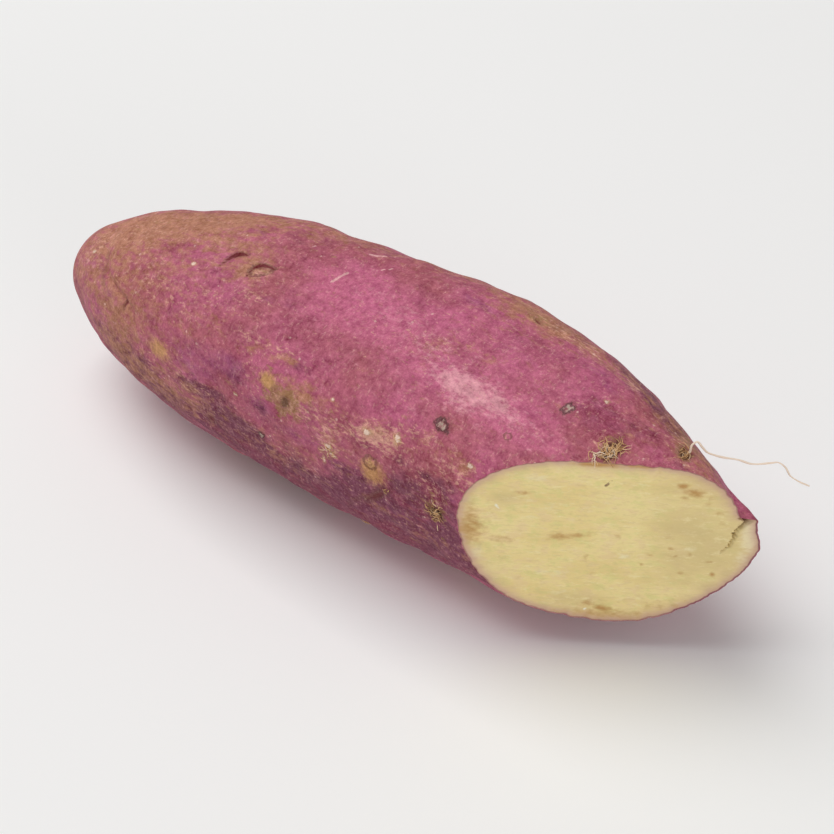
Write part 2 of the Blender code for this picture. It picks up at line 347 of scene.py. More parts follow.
# Each patch's station, angle, size along, size round and strength, in millimetres and degrees.
PATCHES: dict[Paint, tuple[Patch, ...]] = {
    Paint.PINK: (
        (70, 8, 9, 12, 0.8), (83, 18, 12, 14, 1), (92, -2, 10, 8, 0.5), (104, 30, 12, 9, 0.7),
        (115, 5, 9, 9, 0.7), (120, 24, 12, 9, 0.6), (100, 52, 9, 5, 0.4), (75, -6, 8, 8, 0.5),
        (132, 26, 8, 8, 0.4), (146, -7, 5, 8, 0.5), (122, 30, 8, 9, 0.8), (34, 27, 6, 7, 0.4),
    ),
    Paint.VIOLET: (
        (60, 62, 7, 6, 0.65), (68.5, 75, 5, 5, 0.8), (50, 70, 10, 8, 0.5), (13, 44, 4, 9, 0.6),
        (9, 20, 2.4, 7, 0.4), (18, 70, 5, 8, 0.5), (79, 80, 6, 6, 0.6), (90, 85, 5, 5, 0.4),
        (46, -6, 1.6, 2.5, 0.8), (97, -12, 7, 4, 0.6), (84, -17, 8, 5, 0.35), (63, 28, 5, 4, 0.3),
        (77, 33, 10, 5, 0.3), (117, -1, 6, 4, 0.4), (105, 98, 12, 14, 0.7), (115, 70, 6, 6, 0.5),
        (22, 58, 6, 6, 0.4), (34, 62, 4, 6, 0.3), (75, 110, 10, 8, 0.5), (19, 86, 5, 8, 0.35),
        (128, -16, 8, 5, 0.4),
    ),
    # Plum: dark purple patches. Those along the low front, over the underside, in the creases at the
    # blunt end and in a thin line along a ridge are painted shade.
    Paint.PLUM_AND_SHADE: (
        (54, 83, 6, 4, 0.6), (49, 85, 6, 8, 0.5), (62, 66, 5, 9, 0.35), (60, 96, 10, 16, 0.5),
        (69, 76, 4, 6, 0.4), (90, 87, 4, 6, 0.6), (100, 98, 12, 12, 0.4), (108, 78, 5, 8, 0.4),
        (75, 45, 5, 8, 0.35), (140, -34, 16, 10, 0.5), (35, 86, 8, 12, 0.3), (60, 92, 6, 5, 0.6),
        (64, 103, 7, 10, 0.5), (108, 92, 14, 18, 0.7), (92, 115, 20, 10, 0.7),
        (112, 68, 6, 4, 0.4), (118, 86, 6, 14, 0.4), (104, 67.5, 9, 2, 0.35),
        (40, 104, 14, 8, 0.4), (87, 85, 3, 3, 0.4), (105, 78, 6, 4, 0.35), (134, 2, 9, 18, 0.4),
        (143, -14, 6, 8, 0.35), (100, 118, 30, 10, 0.6), (60, 120, 25, 9, 0.5),
        (80, 180, 80, 50, 0.35), (60, 106, 60, 14, 0.7), (104, 116, 30, 12, 0.5),
        (24, 92, 10, 10, 0.6), (111, 73, 4, 5, 0.6), (140, -40, 24, 9, 0.7),
        (112, 118, 10, 12, 0.5), (14.5, 50, 2, 9, 0.6), (11.5, 31, 1.8, 7, 0.7),
        (20, 7, 3, 9, 0.45),
    ),
    # Wine: deep red marks, and the broad patches low on the front and along the underside, which are
    # painted shade.
    Paint.WINE_AND_SHADE: (
        (70.3, 40.7, 1.8, 2.2, 0.9), (72, 32, 8, 6, 0.4), (60, 38, 6, 6, 0.3),
        (43, 35, 8, 8, 0.35), (133, 8, 4, 8, 0.5), (134, -2, 8, 12, 0.4), (144, -12, 5, 7, 0.5),
        (139.8, 17, 1.6, 5, 0.9), (20, 0.5, 2.4, 3, 0.7), (18, 14.5, 1.8, 3.5, 0.6),
        (7.5, 26, 1.8, 5, 0.5), (15, 8, 3, 8, 0.45), (30, 20, 6, 8, 0.5), (24, 48, 5, 7, 0.45),
        (111, 71, 3, 4, 0.6), (81.7, 41.8, 2.2, 2.4, 0.7), (96.8, 81, 3, 6, 0.5),
        (112, 78, 6, 9, 0.6), (105, 92, 10, 14, 0.45), (62, 110, 16, 10, 0.4),
        (92, 120, 40, 10, 0.5),
    ),
    Paint.CORK: (
        (8, 10, 10, 60, 0.6), (24, 40, 10, 40, 0.4), (27, 80, 8, 30, 0.35), (39, 25, 9, 20, 0.4),
        (41, 60, 10, 20, 0.35), (46, 92, 10, 20, 0.35), (50, 8, 6, 10, 0.35),
        (104, -12, 8, 8, 0.3), (22, 0, 11, 18, 0.85), (18, 22, 8, 16, 0.55), (33, -8, 12, 16, 0.8),
        (45, -18, 14, 14, 0.55), (60, -26, 16, 9, 0.5), (85, -34, 25, 8, 0.5),
        (108, -24, 12, 9, 0.8), (122, -33, 16, 10, 0.6), (150, -35, 12, 16, 0.8),
        (12, 60, 12, 24, 0.4), (30, 100, 26, 16, 0.5), (27, 70, 8, 10, 0.3), (42, 8, 8, 8, 0.4),
        (52, 46, 4, 5, 0.4), (64, 50, 6, 6, 0.45), (71.5, 49, 2.4, 1.8, 0.8), (79, 58, 7, 6, 0.5),
        (88, 66, 6, 5, 0.25), (87, 76, 4, 8, 0.5), (97, 60, 8, 3, 0.4), (110, 54, 9, 5, 0.4),
        (116.5, 56.5, 2.5, 2.5, 0.7), (52, 20, 5, 9, 0.8), (97, 60, 4, 4, 0.3),
        (97, 100, 2.5, 5, 0.3), (76, 61, 5, 4, 0.6), (108, 8, 7, 8, 0.3), (98, 18, 6, 8, 0.3),
        (75, 90, 14, 10, 0.25), (72, 104, 8, 8, 0.3), (110, 105, 15, 10, 0.3),
        (140, -3, 6, 8, 0.35),
    ),
    Paint.OLIVE: (
        (69.5, 61.5, 2.4, 3.4, 1), (75, 66, 3, 5, 1), (74, 72, 1.8, 6, 0.6),
        (73, 63, 6, 8, 0.5), (78, 70, 3, 5, 0.4), (23, -2, 5, 5, 0.35), (19, 8, 4, 3, 0.3),
        (8, 37, 3, 4, 0.5), (29, 51, 2, 8, 0.4), (85, 79, 3.5, 7, 0.6), (109, -24, 4, 5, 0.7),
        (99, -30, 8, 4, 0.4), (147, -40, 6, 8, 0.5), (139.5, 9, 2.3, 9, 1),
        (149.3, -22, 2.6, 5, 1), (112.5, 82, 4, 8, 0.6), (53.5, 14.5, 2.2, 3.5, 0.6),
    ),
    # Bloom: pale pink dusty bloom. The patches along the top, near 28 degrees round, are a painted
    # highlight.
    Paint.BLOOM: (
        (107, 28, 5, 4.5, 1.2), (110, 27, 9, 9, 0.6), (97, 20, 5, 6, 0.35), (110, 35, 4, 3, 0.4),
        (116, 27, 3.5, 4, 0.6), (88, 12, 8, 8, 0.35), (79, 5, 4, 4, 0.3), (122, 28, 7, 6, 0.4),
        (103, 47, 2.5, 2, 0.25), (82, 98, 4, 4, 0.4), (9, 52, 3, 14, 0.4),
    ),
    Paint.FROST: (
        (78, 66, 7, 5, 0.6), (86, 76, 4, 7, 0.8), (92, 65, 9, 5, 0.55), (99, 64, 6, 5, 0.65),
        (132.2, -29.5, 1.6, 3, 1.2), (62, 48, 3, 3, 0.7), (70, 47, 3, 2.5, 0.9),
        (50, 38, 6, 5, 0.5), (57, 30, 4, 4, 0.6), (44, 50, 5, 6, 0.5), (36, 44, 5, 8, 0.3),
        (54, 17, 3, 5, 0.7), (111, 72, 5, 7, 0.6), (105, 54, 7, 3, 0.7), (117, 60, 5, 5, 0.8),
        (139, 11, 4, 6, 0.8), (118, -28, 12, 7, 0.6), (98, 18, 5, 6, 0.5), (149, -22, 4, 6, 0.6),
        (22, 15, 6, 10, 0.35), (97, 60, 5, 3, 0.7), (12, 24, 6, 14, 0.35), (30, 36, 8, 12, 0.3),
        (10, 40, 4, 12, 0.35), (66, 60, 5, 5, 0.5), (45, 84, 12, 10, 0.4), (75, 96, 14, 8, 0.35),
    ),
}

# How many patches of each paint lie on the side that the photo hides.
UNSEEN_PATCHES = dict(zip(Paint, (7, 9, 6, 5, 16, 8, 3, 10)))
# The limits of such a patch: its station, its angle, its two sizes and its strength.
UNSEEN_LIMITS = ((12, 145), (135, 310), (3, 11), (4, 12), (0.4, 0.9))
UNSEEN_SEED = 31
MOST_PAINT = 1.2


def paint_field(paint: Paint, skin: Places) -> Array:
    """How strongly one paint lies at each place of the skin.

    Each patch is a bell: its strength times e to the minus the squared distance from its middle
    in units of its size. The unseen patches are drawn from a fixed seed.

    Args:
        paint: which paint.
        skin: the places.

    Returns:
        Amounts from 0 up to the most that a paint can have.
    """
    draw = np.random.default_rng(UNSEEN_SEED + list(Paint).index(paint))
    unseen = [
        [draw.uniform(*limits) for limits in UNSEEN_LIMITS] for _ in range(UNSEEN_PATCHES[paint])
    ]
    amount = np.zeros_like(skin.station)
    for middle, degrees, along, around, strength in (*PATCHES[paint], *unseen):
        forward = (skin.station - middle * MM) / (along * MM)
        sideways = turn_between(skin.angle, math.radians(degrees)) / math.radians(around)
        amount += strength * np.exp(-(forward**2) - sideways**2)
    return np.clip(amount, 0, MOST_PAINT)


@dataclass(frozen=True)
class RootForm:
    """The root's form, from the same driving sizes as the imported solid."""

    girth: tuple[tuple[float, float], ...] = (
        (0.000, 0.0000), (0.002, 0.0065), (0.008, 0.0120), (0.020, 0.0180), (0.046, 0.0243),
        (0.071, 0.0260), (0.101, 0.0270), (0.126, 0.0250), (0.151, 0.0200), (0.176, 0.0160),
    )
    sway: tuple[tuple[float, float], ...] = (
        (0.000, -0.0020), (0.036, 0.0010), (0.071, 0.0025), (0.106, 0.0037), (0.146, -0.0025),
        (0.181, -0.0155),
    )
    rise: tuple[tuple[float, float], ...] = (
        (0.000, 0.0245), (0.036, 0.0260), (0.071, 0.0270), (0.106, 0.0280), (0.146, 0.0290),
        (0.181, 0.0295),
    )
    ridges: tuple[tuple[int, float, float], ...] = (
        (3, 0.036, math.radians(54)),
        (4, 0.015, math.radians(-23)),
        (5, 0.021, math.radians(-23)),
    )
    ridge_start: float = 0.060
    swells: tuple[tuple[float, float, int, float], ...] = (
        (0.00010, 23.0, 1, 0.4),
        (0.00008, 37.0, -2, 2.1),
        (0.00006, 58.0, 3, 4.0),
    )
    swell_start: float = 0.030
    hollows: tuple[tuple[float, float, float, float], ...] = (
        (0.0100, math.radians(95), 0.0070, -0.0010),
        (0.0260, math.radians(-25), 0.0120, -0.0007),
        (0.1538, math.radians(200), 0.0070, -0.0008),
    )
    cut_turn: float = math.radians(55.7)
    cut_reach: float = 0.0852
    longest: float = 0.180
    halvings: int = 40

    def mean_radius(self, station: Array) -> Array:
        """The girth read against the root of the station, so that the blunt tip is round."""
        roots = [(math.sqrt(place), radius) for place, radius in self.girth]
        return smooth_through(roots, np.sqrt(station))

    def radius(self, station: Array, angle: Array) -> Array:
        """The girth, times 1 plus the ridges' cosines, plus the swells' slow sines and hollows.

        Args:
            station: distances from the blunt tip.
            angle: angles round the root.

        Returns:
            The plain skin's distances from the bent middle line.
        """
        ridge = sum(
            share * np.cos(count * (angle - crest)) for count, share, crest in self.ridges
        )
        swell = sum(
            height * np.sin(FULL_TURN * waves * station + turns * angle + phase)
            for height, waves, turns, phase in self.swells
        )
        radius = self.mean_radius(station)
        radius = radius * (1 + ridge * np.clip(station / self.ridge_start, 0, 1))
        radius = radius + swell * np.clip(station / self.swell_start, 0, 1)
        hollow = np.zeros_like(radius)
        for place, heading, size, rise in self.hollows:
            around = turn_between(angle, heading) * radius
            hollow += rise * np.exp(-((station - place) ** 2 + around**2) / size**2)
        return radius + hollow

    def point(self, station: Array, angle: Array, radius: Array) -> Array:
        """Points at a radius from the bent middle line.

        Args:
            station: distances from the blunt tip.
            angle: angles round the root.
            radius: distances from the middle line.

        Returns:
            The points, with x, y and z in the last axis.
        """
        forward = station + np.zeros_like(angle)
        sideways = smooth_through(self.sway, station) - radius * np.sin(angle)
        upward = smooth_through(self.rise, station) + radius * np.cos(angle)
        return np.stack([forward, sideways, upward], axis=-1)

    def out_of_cut(self) -> Array:
        """The way the cut face looks: out of the root, level, towards the front."""
        return np.array([math.cos(self.cut_turn), -math.sin(self.cut_turn), 0.0])

    def across_cut(self) -> Array:
        """The level way across the cut face, towards the back."""
        return np.array([math.sin(self.cut_turn), math.cos(self.cut_turn), 0.0])

    def cut_station(self, angle: Array) -> Array:
        """Where the skin meets the knife's plane, found by halving the gap again and again.

        Args:
            angle: angles round the root.

        Returns:
            The station at each angle.
        """
        low = np.zeros_like(angle)
        high = np.full_like(angle, self.longest)
        for _ in range(self.halvings):
            middle = (low + high) / 2
            points = self.point(middle, angle, self.radius(middle, angle))
            inside = points @ self.out_of_cut() < self.cut_reach
            low = np.where(inside, middle, low)
            high = np.where(inside, high, middle)
        return (low + high) / 2


@dataclass(frozen=True)
class TornEdge:
    """The sliver torn loose at the cut's far edge, and the crack that frees it.

    Turns are measured round the middle of the cut face, from across it towards up. The crack's
    place is given as (turn, distance from the middle), from inside its inner end to past its
    mouth. The sliver's tip swings out evenly, and gapes more and more towards the mouth. The
    crack is narrow at its inner end and widens towards its mouth, and the core of its width is
    its floor. Past the mouth the rim is chipped back, less and less up to the chip's end.
    """

    crack: tuple[tuple[float, float], ...] = (
        (math.radians(-30.0), 0.0160),
        (math.radians(-6.0), 0.0185),
        (math.radians(-2.4), 0.0193),
        (math.radians(2.3), 0.0202),
        (math.radians(8.2), 0.0210),
        (math.radians(13.2), 0.0217),
        (math.radians(15.5), 0.0228),
        (math.radians(17.5), 0.0235),
        (math.radians(40.0), 0.0270),
    )
    jags: tuple[Triple, ...] = ((0.00013, 57.0, 1.0), (0.00009, 131.0, 2.0))
    crack_end: float = math.radians(-6.0)
    mouth: float = math.radians(17.3)
    mouth_spread: float = math.radians(1.2)
    gap: float = 0.0009
    gap_start: float = math.radians(11.5)
    depth: float = 0.0040
    notch: float = 0.0020
    hair_width: float = 0.00042
    swing: float = 0.0007
    swing_start: float = math.radians(-9.0)
    swing_full: float = math.radians(1.0)
    chip: float = 0.0015
    chip_end: float = math.radians(42.0)
    chip_power: float = 1.4
    reach: float = 0.005
    face_falloff: int = 4
    narrow: float = 0.8
    widening: float = 1.2
    core: float = 0.15
    mouth_shade: float = 0.6
    grain_turn: float = math.radians(19.0)

    def grain(self) -> Array:
        """The way the flesh's fibres run where the crack is, towards the cut."""
        return np.array([math.cos(self.grain_turn), -math.sin(self.grain_turn), 0.0])

    def crack_radius(self, turn: Array) -> Array:
        """How far the crack lies from the middle of the face at each turn, with its jags."""
        held = np.clip(turn, self.crack[0][0], self.crack[-1][0])
        jag = sum(size * np.sin(rate * held + phase) for size, rate, phase in self.jags)
        return smooth_through(self.crack, held) + jag

    def openness(self, turn: Array) -> Array:
        """How far along the crack each turn lies: 0 at its inner end, 1 at its mouth, 0 past both."""
        share = (turn - self.crack_end) / (self.mouth - self.crack_end)
        return np.clip(share, 0, 1) * (1 - ease(turn, self.mouth, self.mouth + self.mouth_spread))


@dataclass(frozen=True)
class RootGrid:
    """How finely the root's surface is divided, and where its lines are drawn closer.

    The rings crowd at the tip, at the rim and in the face. The columns crowd a little on one
    side, and more at the sliver. Both are pinched at the marks and against the crack.
    """

    sides: int = 372
    skin_rings: int = 222
    face_rings: int = 44
    tip_crowding: float = 1.28
    rim_crowding: float = 0.25
    face_crowding: float = 1.45
    rim_samples: int = 360
    column_samples: int = 4000
    side_crowd: float = 0.15
    side_angle: float = math.radians(45)
    sliver_crowd: float = 1.5
    sliver_angle: float = math.radians(281)
    sliver_spread: float = math.radians(13)
    pinch: float = 0.50
    pinch_reach: float = 0.0060
    crack_pinch: float = 0.82
    crack_reach: float = 0.09
    crack_spread: float = math.radians(10)


@dataclass(frozen=True)
class Ripples:
    """Fine unevenness: a sum of plane waves through space, each with its own way and start.

    The height is that of the longest wave. Shorter ones are lower in proportion.
    """

    seed: int
    count: int
    shortest: float
    longest: float
    height: float

    def at(self, points: Array) -> Array:
        """Sums the waves, which are drawn from the fixed seed.

        Args:
            points: where to read them.

        Returns:
            Heights at the points.
        """
        draw = np.random.default_rng(self.seed)
        way = draw.normal(size=(self.count, 3))
        way /= np.linalg.norm(way, axis=1)[:, None]
        length = np.exp(draw.uniform(*np.log((self.shortest, self.longest)), self.count))
        phase = draw.uniform(0, FULL_TURN, self.count)
        heights = np.zeros(points.shape[:-1])
        for one in range(self.count):
            wave = np.sin(points @ way[one] * FULL_TURN / length[one] + phase[one])
            heights += self.height * length[one] / self.longest * wave
        return heights


@dataclass(frozen=True)
class FineRelief:
    """The unevenness of skin, rim and flesh, and how far each reaches.

    The skin's relief fades out at the tip and at the rim, and the flesh lies a little deeper
    than the skin's edge.
    """

    skin: Ripples = Ripples(11, 28, 0.004, 0.013, 0.00006)
    rim: Ripples = Ripples(3, 18, 0.0008, 0.0030, 0.00005)
    flesh: Ripples = Ripples(5, 22, 0.0025, 0.009, 0.00003)
    tip_fade: float = 0.006
    rim_fade: float = 0.002
    rim_reach: float = 0.0008
    sunk: float = 0.00012
    sunk_fade: float = 0.0008


@dataclass(frozen=True)
class RindAndShade:
    """How strongly the skin's colour shows round the cut: most of all along its lower right, where
    the stronger dark border is painted shade.
    """

    least: float = 0.60
    most: float = 1.00
    rise: tuple[float, float] = (math.radians(-75), math.radians(-50))
    fall: tuple[float, float] = (math.radians(15), math.radians(19))

    def strength(self, turn: Array) -> Array:
        """The least strength, and towards the most between the rise and the fall."""
        lower_right = ease(turn, *self.rise) * (1 - ease(turn, *self.fall))
        return self.least + (self.most - self.least) * lower_right


@dataclass(frozen=True)
class NailDent:
    """A dent like a thumbnail's: steep at its bowed upper edge, easing out below it.

    The bow and the two slopes are in units of the dent's size round the root. The line along its
    edge, painted dark as the shadow under that edge, is thin at its ends, and a little thicker past
    its middle.
    """

    bow: float = 0.35
    steep: float = 0.10
    gentle: float = 0.85
    line: float = 0.00060
    thin: float = 0.35
    skew: float = 0.5

    def shape(self, spot: Mark, along: Array, around: Array) -> tuple[Array, Array]:
        """Works out two half bells that meet at the bowed edge, and the painted shadow line along it.

        Args:
            spot: the dent.
            along: lengths along it.
            around: lengths across it, more towards the front.

        Returns:
            The share of its full depth, and the nearness to the line, from 1 down to -1.
        """
        size = spot.around * MM
        share = along / (spot.along * MM)
        bow = np.clip(1 - share**2, 0, 1)
        below = around + size * (bow - self.bow)
        slope = np.where(below < 0, self.steep, self.gentle) * size
        depth = np.exp(-((below / slope) ** 2)) * np.sqrt(bow)
        thickness = self.thin + (1 - self.thin) * bow * (1 + self.skew * np.clip(share, -1, 1))
        off = np.abs(below) / (self.line * thickness) + 2 * np.clip(share**2 - 1, 0, 1)
        return depth, np.clip(1 - off, -1, 1)


@dataclass(frozen=True)
class Crease:
    """A shallow trough over the blunt end, through (degrees, station) places."""

    line: tuple[tuple[float, float], ...] = (
        (14.0, 0.0115),
        (32.0, 0.0138),
        (48.0, 0.0175),
        (62.0, 0.0290),
    )
    depth: float = 0.0008
    half_width: float = 0.0020
    fade: float = 9.0

    def height(self, skin: Places) -> Array:
        """Its depth times a bell of the distance from its line, fading past both ends.

        Args:
            skin: the places.

        Returns:
            Heights, 0 or less.
        """
        first, last = self.line[0][0], self.line[-1][0]
        turn = np.degrees(turn_between(skin.angle, 0))
        middle = smooth_through(self.line, np.clip(turn, first, last))
        past = np.maximum(np.maximum(first - turn, turn - last), 0) / self.fade
        across = (skin.station - middle) / self.half_width
        return -self.depth * np.exp(-(across**2) - past**2)


@dataclass(frozen=True)
class Profile:
    """A mark's relief over the nearness to its middle: a step, with bells beside it.

    The step rises between two places to its share of the mark's height. A bell has a place, a
    width and a share.
    """

    step: Triple = (0.0, 0.5, 1.0)
    bells: tuple[Triple, ...] = ()

    def height(self, near: Array) -> Array:
        """The step's smooth rise, plus each bell, e to the minus its squared distance."""
        low, high, share = self.step
        bells = [part * np.exp(-(((near - at) / width) ** 2)) for at, width, part in self.bells]
        return share * ease(near, low, high) + sum(bells)


PROFILES: dict[MarkKind, Profile] = {
    MarkKind.EYE: Profile((-0.05, 0.65, 1.0), ((-0.20, 0.30, -0.35),)),
    MarkKind.KNOB: Profile((0.3, 0.9, 0.35), ((0.30, 0.22, 1.0), (-0.20, 0.25, -0.45))),
    MarkKind.SLIT: Profile((0.0, 0.8, 1.0)),
    MarkKind.SCAR: Profile((0.0, 1.0, 0.0), ((0.10, 0.14, 1.0),)),
    MarkKind.SCAB: Profile(),
    MarkKind.SPOT: Profile(),
}
LINE_STEP = (0.0, 0.9)


class SweetPotatoRoot:
    """The root itself: skin, cut face, eyes, scars and the torn sliver, as one surface."""

    def __init__(
        self, form: RootForm, torn: TornEdge, grid: RootGrid, relief: FineRelief
    ) -> None:
        """Keeps the sizes and works out every point of the grid.

        Args:
            form: the root's form.
            torn: the torn sliver and its crack.
            grid: how finely the surface is divided.
            relief: the fine unevenness of its surfaces.
        """
        self.form = form
        self.torn = torn
        self.grid = grid
        self.relief = relief
        self.rim_middle = self._rim_middle()
        self._lay_out()
        self._raise()

    def _rim_middle(self) -> Array:
        """The mean of the rim's points, which is the middle of the cut face."""
        angle = np.linspace(0, FULL_TURN, self.grid.rim_samples, endpoint=False)
        station = self.form.cut_station(angle)
        return self.form.point(station, angle, self.form.radius(station, angle)).mean(axis=0)

    def _lay_out(self) -> None:
        """Gives each grid point its station, its angle and its share of the way in from the rim.

        The columns are evenly spaced but for a crowd at the sliver's tip, the rings are crowded
        at the tip and the rim, and both are drawn in towards the marks.
        """
        grid = self.grid
        fine = np.linspace(0, FULL_TURN, grid.column_samples)
        off_sliver = turn_between(fine, grid.sliver_angle) / grid.sliver_spread
        density = 1 + grid.side_crowd * np.cos(fine - grid.side_angle)
        density += grid.sliver_crowd * np.exp(-(off_sliver**2))
        filled = np.concatenate([[0], np.cumsum((density[1:] + density[:-1]) / 2)])
        evenly = np.linspace(0, filled[-1], grid.sides, endpoint=False)
        angle = np.interp(evenly, filled, fine)
        ring = np.arange(1, grid.skin_rings + 1) / grid.skin_rings
        at_rim = (1 - (1 - ring) ** 2) * ring
        share = (1 - grid.rim_crowding) * ring**grid.tip_crowding + grid.rim_crowding * at_rim
        end = self.form.cut_station(angle)
        station = share[:, None] * end
        angle = np.broadcast_to(angle, station.shape)
        self.station, self.angle = self._pinched(station, angle, end)
        self.face_angle = self.angle[-1]
        inward = np.arange(1, grid.face_rings) / grid.face_rings
        self.inset = self._inset(inward[:, None])

    def _pinched(self, station: Array, angle: Array, end: Array) -> tuple[Array, Array]:
        """Draws the grid in towards each mark.

        A point at a distance from a mark moves to that distance times 1 less a bell of it, so
        the lines lie closest at the mark. The tip and the rim keep their places.

        Args:
            station: each point's distance from the tip.
            angle: each point's angle.
            end: the rim's station in each column.

        Returns:
            The moved stations and angles.
        """
        grid = self.grid
        radius = self.form.radius(station, angle)
        skin = Places(station, angle, radius)
        forward = np.zeros_like(station)
        sideways = np.zeros_like(station)
        for spot in MARKS:
            if spot.kind in (MarkKind.SPOT, MarkKind.SCAB, MarkKind.SCAR):
                continue
            along, around = skin.away_from(spot.station * MM, math.radians(spot.degrees))
            bell = grid.pinch * np.exp(-(along**2 + around**2) / grid.pinch_reach**2)
            forward -= along * bell
            sideways -= around * bell / radius
        room = np.minimum(station, end - station) / (2 * grid.pinch_reach)
        keep = ease(room, 0, 1)
        limit = grid.pinch_reach / 2
        forward = limit * np.tanh(forward / limit)
        turn_limit = limit / radius
        sideways = turn_limit * np.tanh(sideways / turn_limit)
        return station + forward * keep, angle + sideways * keep

    def _inset(self, inward: Array) -> Array:
        """How far in from the rim each ring of the face lies, crowded against the crack.

        Args:
            inward: the rings' even share of the way in, as a column.

        Returns:
            The share of the way in, for each ring and column.
        """
        grid, torn = self.grid, self.torn
        rim = self._flat_rim() - self.rim_middle
        self.rim_turn = np.arctan2(rim[:, 2], rim @ self.form.across_cut())
        self.rim_radius = np.linalg.norm(rim, axis=1)
        crack = 1 - torn.crack_radius(self.rim_turn) / self.rim_radius
        crack = np.clip(crack, 0, 1) ** (1 / grid.face_crowding)
        start, mouth, spread = torn.crack_end, torn.mouth, grid.crack_spread
        inside = ease(self.rim_turn, start - spread, start)
        strength = grid.crack_pinch * inside * (1 - ease(self.rim_turn, mouth, mouth + spread))
        off = inward - crack
        pinched = crack + off * (1 - strength * np.exp(-((off / grid.crack_reach) ** 2)))
        self.crack_inset = crack**grid.face_crowding
        return np.clip(pinched, 0, 1) ** grid.face_crowding

    def _flat_rim(self) -> Array:
        """The rim's points on the knife's plane, before anything is torn."""
        station = self.form.cut_station(self.face_angle)
        radius = self.form.radius(station, self.face_angle)
        return self.form.point(station, self.face_angle, radius)

    def _read_marks(self, skin: Places) -> Array:
        """Keeps how near each place is to each kind of mark and line, and adds up their relief.

        Args:
            skin: the places.

        Returns:
            Heights in metres.
        """
        height = Crease().height(skin)
        self.near = {kind: np.full_like(height, -1.0) for kind in (*MarkKind, *LineKind)}
        for spot in MARKS:
            along, around = spot.lengths(skin)
            near = spot.nearness(along, around)
            if spot.kind == MarkKind.NAIL_DENT:
                share, near = NailDent().shape(spot, along, around)
            else:
                share = PROFILES[spot.kind].height(near)
            height += spot.height * MM * share
            self.near[spot.kind] = np.maximum(self.near[spot.kind], near)
        for line in LINES:
            near = line.nearness(skin)
            height += line.height * MM * ease(near, *LINE_STEP)
            self.near[line.kind] = np.maximum(self.near[line.kind], near)
        return height

    def _raise(self) -> None:
        """Works out every point of the skin and the face."""
        form, fine = self.form, self.relief
        radius = form.radius(self.station, self.angle)
        self.places = Places(self.station, self.angle, radius)
        plain = form.point(self.station, self.angle, radius)
        height = self._read_marks(self.places) + fine.skin.at(plain)
        height *= ease(self.station, 0.0, fine.tip_fade)
        height *= ease(self.rim_distance(), 0.0, fine.rim_fade)
        skin = form.point(self.station, self.angle, radius + height)
        rim = skin[-1]
        outward = rim - self.rim_middle
        outward /= np.linalg.norm(outward, axis=1)[:, None]
        back = np.exp(-((self.rim_distance() / fine.rim_reach) ** 2))
        skin += (fine.rim.at(rim) * back)[..., None] * outward
        self.skin = skin
        self.face = rim + (self.rim_middle - rim) * self.inset[:, :, None]
        self._tear()
        self._sink_flesh()
        self.skin[..., 2] = np.maximum(self.skin[..., 2], 0.0)

    def rim_distance(self) -> Array:
        """How far along the root each skin point lies from the rim."""
        return self.station[-1] - self.station

    def _tear(self) -> None:
        """Swings the sliver out, chips the rim over the crack's mouth and opens the crack."""
        torn, form = self.torn, self.form
        turn, across = self.rim_turn, form.across_cut()
        past = ease(turn, torn.mouth, torn.mouth + torn.mouth_spread)
        swing = torn.swing * ease(turn, torn.swing_start, torn.swing_full)
        left = np.clip((torn.chip_end - turn) / (torn.chip_end - torn.mouth), 0, 1)
        chip = torn.chip * left**torn.chip_power
        smooth = np.where(turn > torn.swing_start, swing * (1 - past) - chip * past, 0.0)
        opened = torn.openness(turn)
        towards = np.clip((turn - torn.gap_start) / (torn.mouth - torn.gap_start), 0, 1)
        gap = torn.gap * opened * towards
        back = np.exp(-((self.rim_distance() / torn.reach) ** 2))
        self.skin += ((smooth + gap) * back)[..., None] * across
        falloff = (1 - self.inset) ** torn.face_falloff
        off = (self.crack_inset - self.inset) * self.rim_radius
        half = torn.hair_width / 2
        outside = ease(off, -half, half)
        self.face += (smooth * falloff + gap * outside)[..., None] * across
        reach = half * (torn.narrow + torn.widening * opened)
        self.groove = (1 - ease(np.abs(off) / reach, torn.core, 1.0)) * np.sqrt(opened)
        # A parabola along the chip, 0 at both of its ends and 1 halfway.
        tip_side = 4 * past * (1 - past) * outside
        self.face -= (torn.depth * self.groove + torn.notch * tip_side)[..., None] * torn.grain()
        # The groove value paints the crack dark as its shade, and the chipped side by its mouth too.
        self.groove = np.maximum(self.groove, torn.mouth_shade * tip_side)

    def _sink_flesh(self) -> None:
        """Sinks the flesh a little inside the skin's edge, and leaves the knife's low waves."""
        fine = self.relief
        depth = self.inset * self.rim_radius
        sunk = fine.sunk * ease(depth, 0.0, fine.sunk_fade)
        sunk -= fine.flesh.at(self.face) * ease(depth, 0.0, fine.rim_fade)
        self.face -= sunk[..., None] * self.form.out_of_cut()

    def attributes(self) -> dict[Enum, Array]:
        """Works out the values that the materials read.

        Returns:
            Each value at each point.
        """
        skin: dict[Enum, Array] = {one: paint_field(one, self.places) for one in Paint}
        skin |= self.near
        across = (self.face - self.rim_middle) @ self.form.across_cut()
        up = self.face[..., 2] - self.rim_middle[2]
        rind = RindAndShade().strength(self.rim_turn)
        face: dict[Enum, Array] = {kind: face_field(kind, across, up) for kind in FaceKind}
        face[FaceValue.INSET] = self.inset * self.rim_radius
        face[FaceValue.GROOVE] = self.groove
        face[FaceValue.RIND] = np.broadcast_to(rind, self.inset.shape)
        made = {}
        for name, value in skin.items():
            made[name] = self._joined(value, np.zeros_like(self.inset), value[0].mean(), 0.0)
        for name, value in face.items():
            middle = value[-1].mean()
            made[name] = self._joined(np.zeros_like(self.station), value, 0.0, middle)
        return made

    @staticmethod
    def _joined(skin: Array, face: Array, tip: float, middle: float) -> Array:
        """One row of values: the tip, the skin's rings, the face's rings, the face's middle."""
        return np.concatenate([[tip], skin.ravel(), face.ravel(), [middle]])

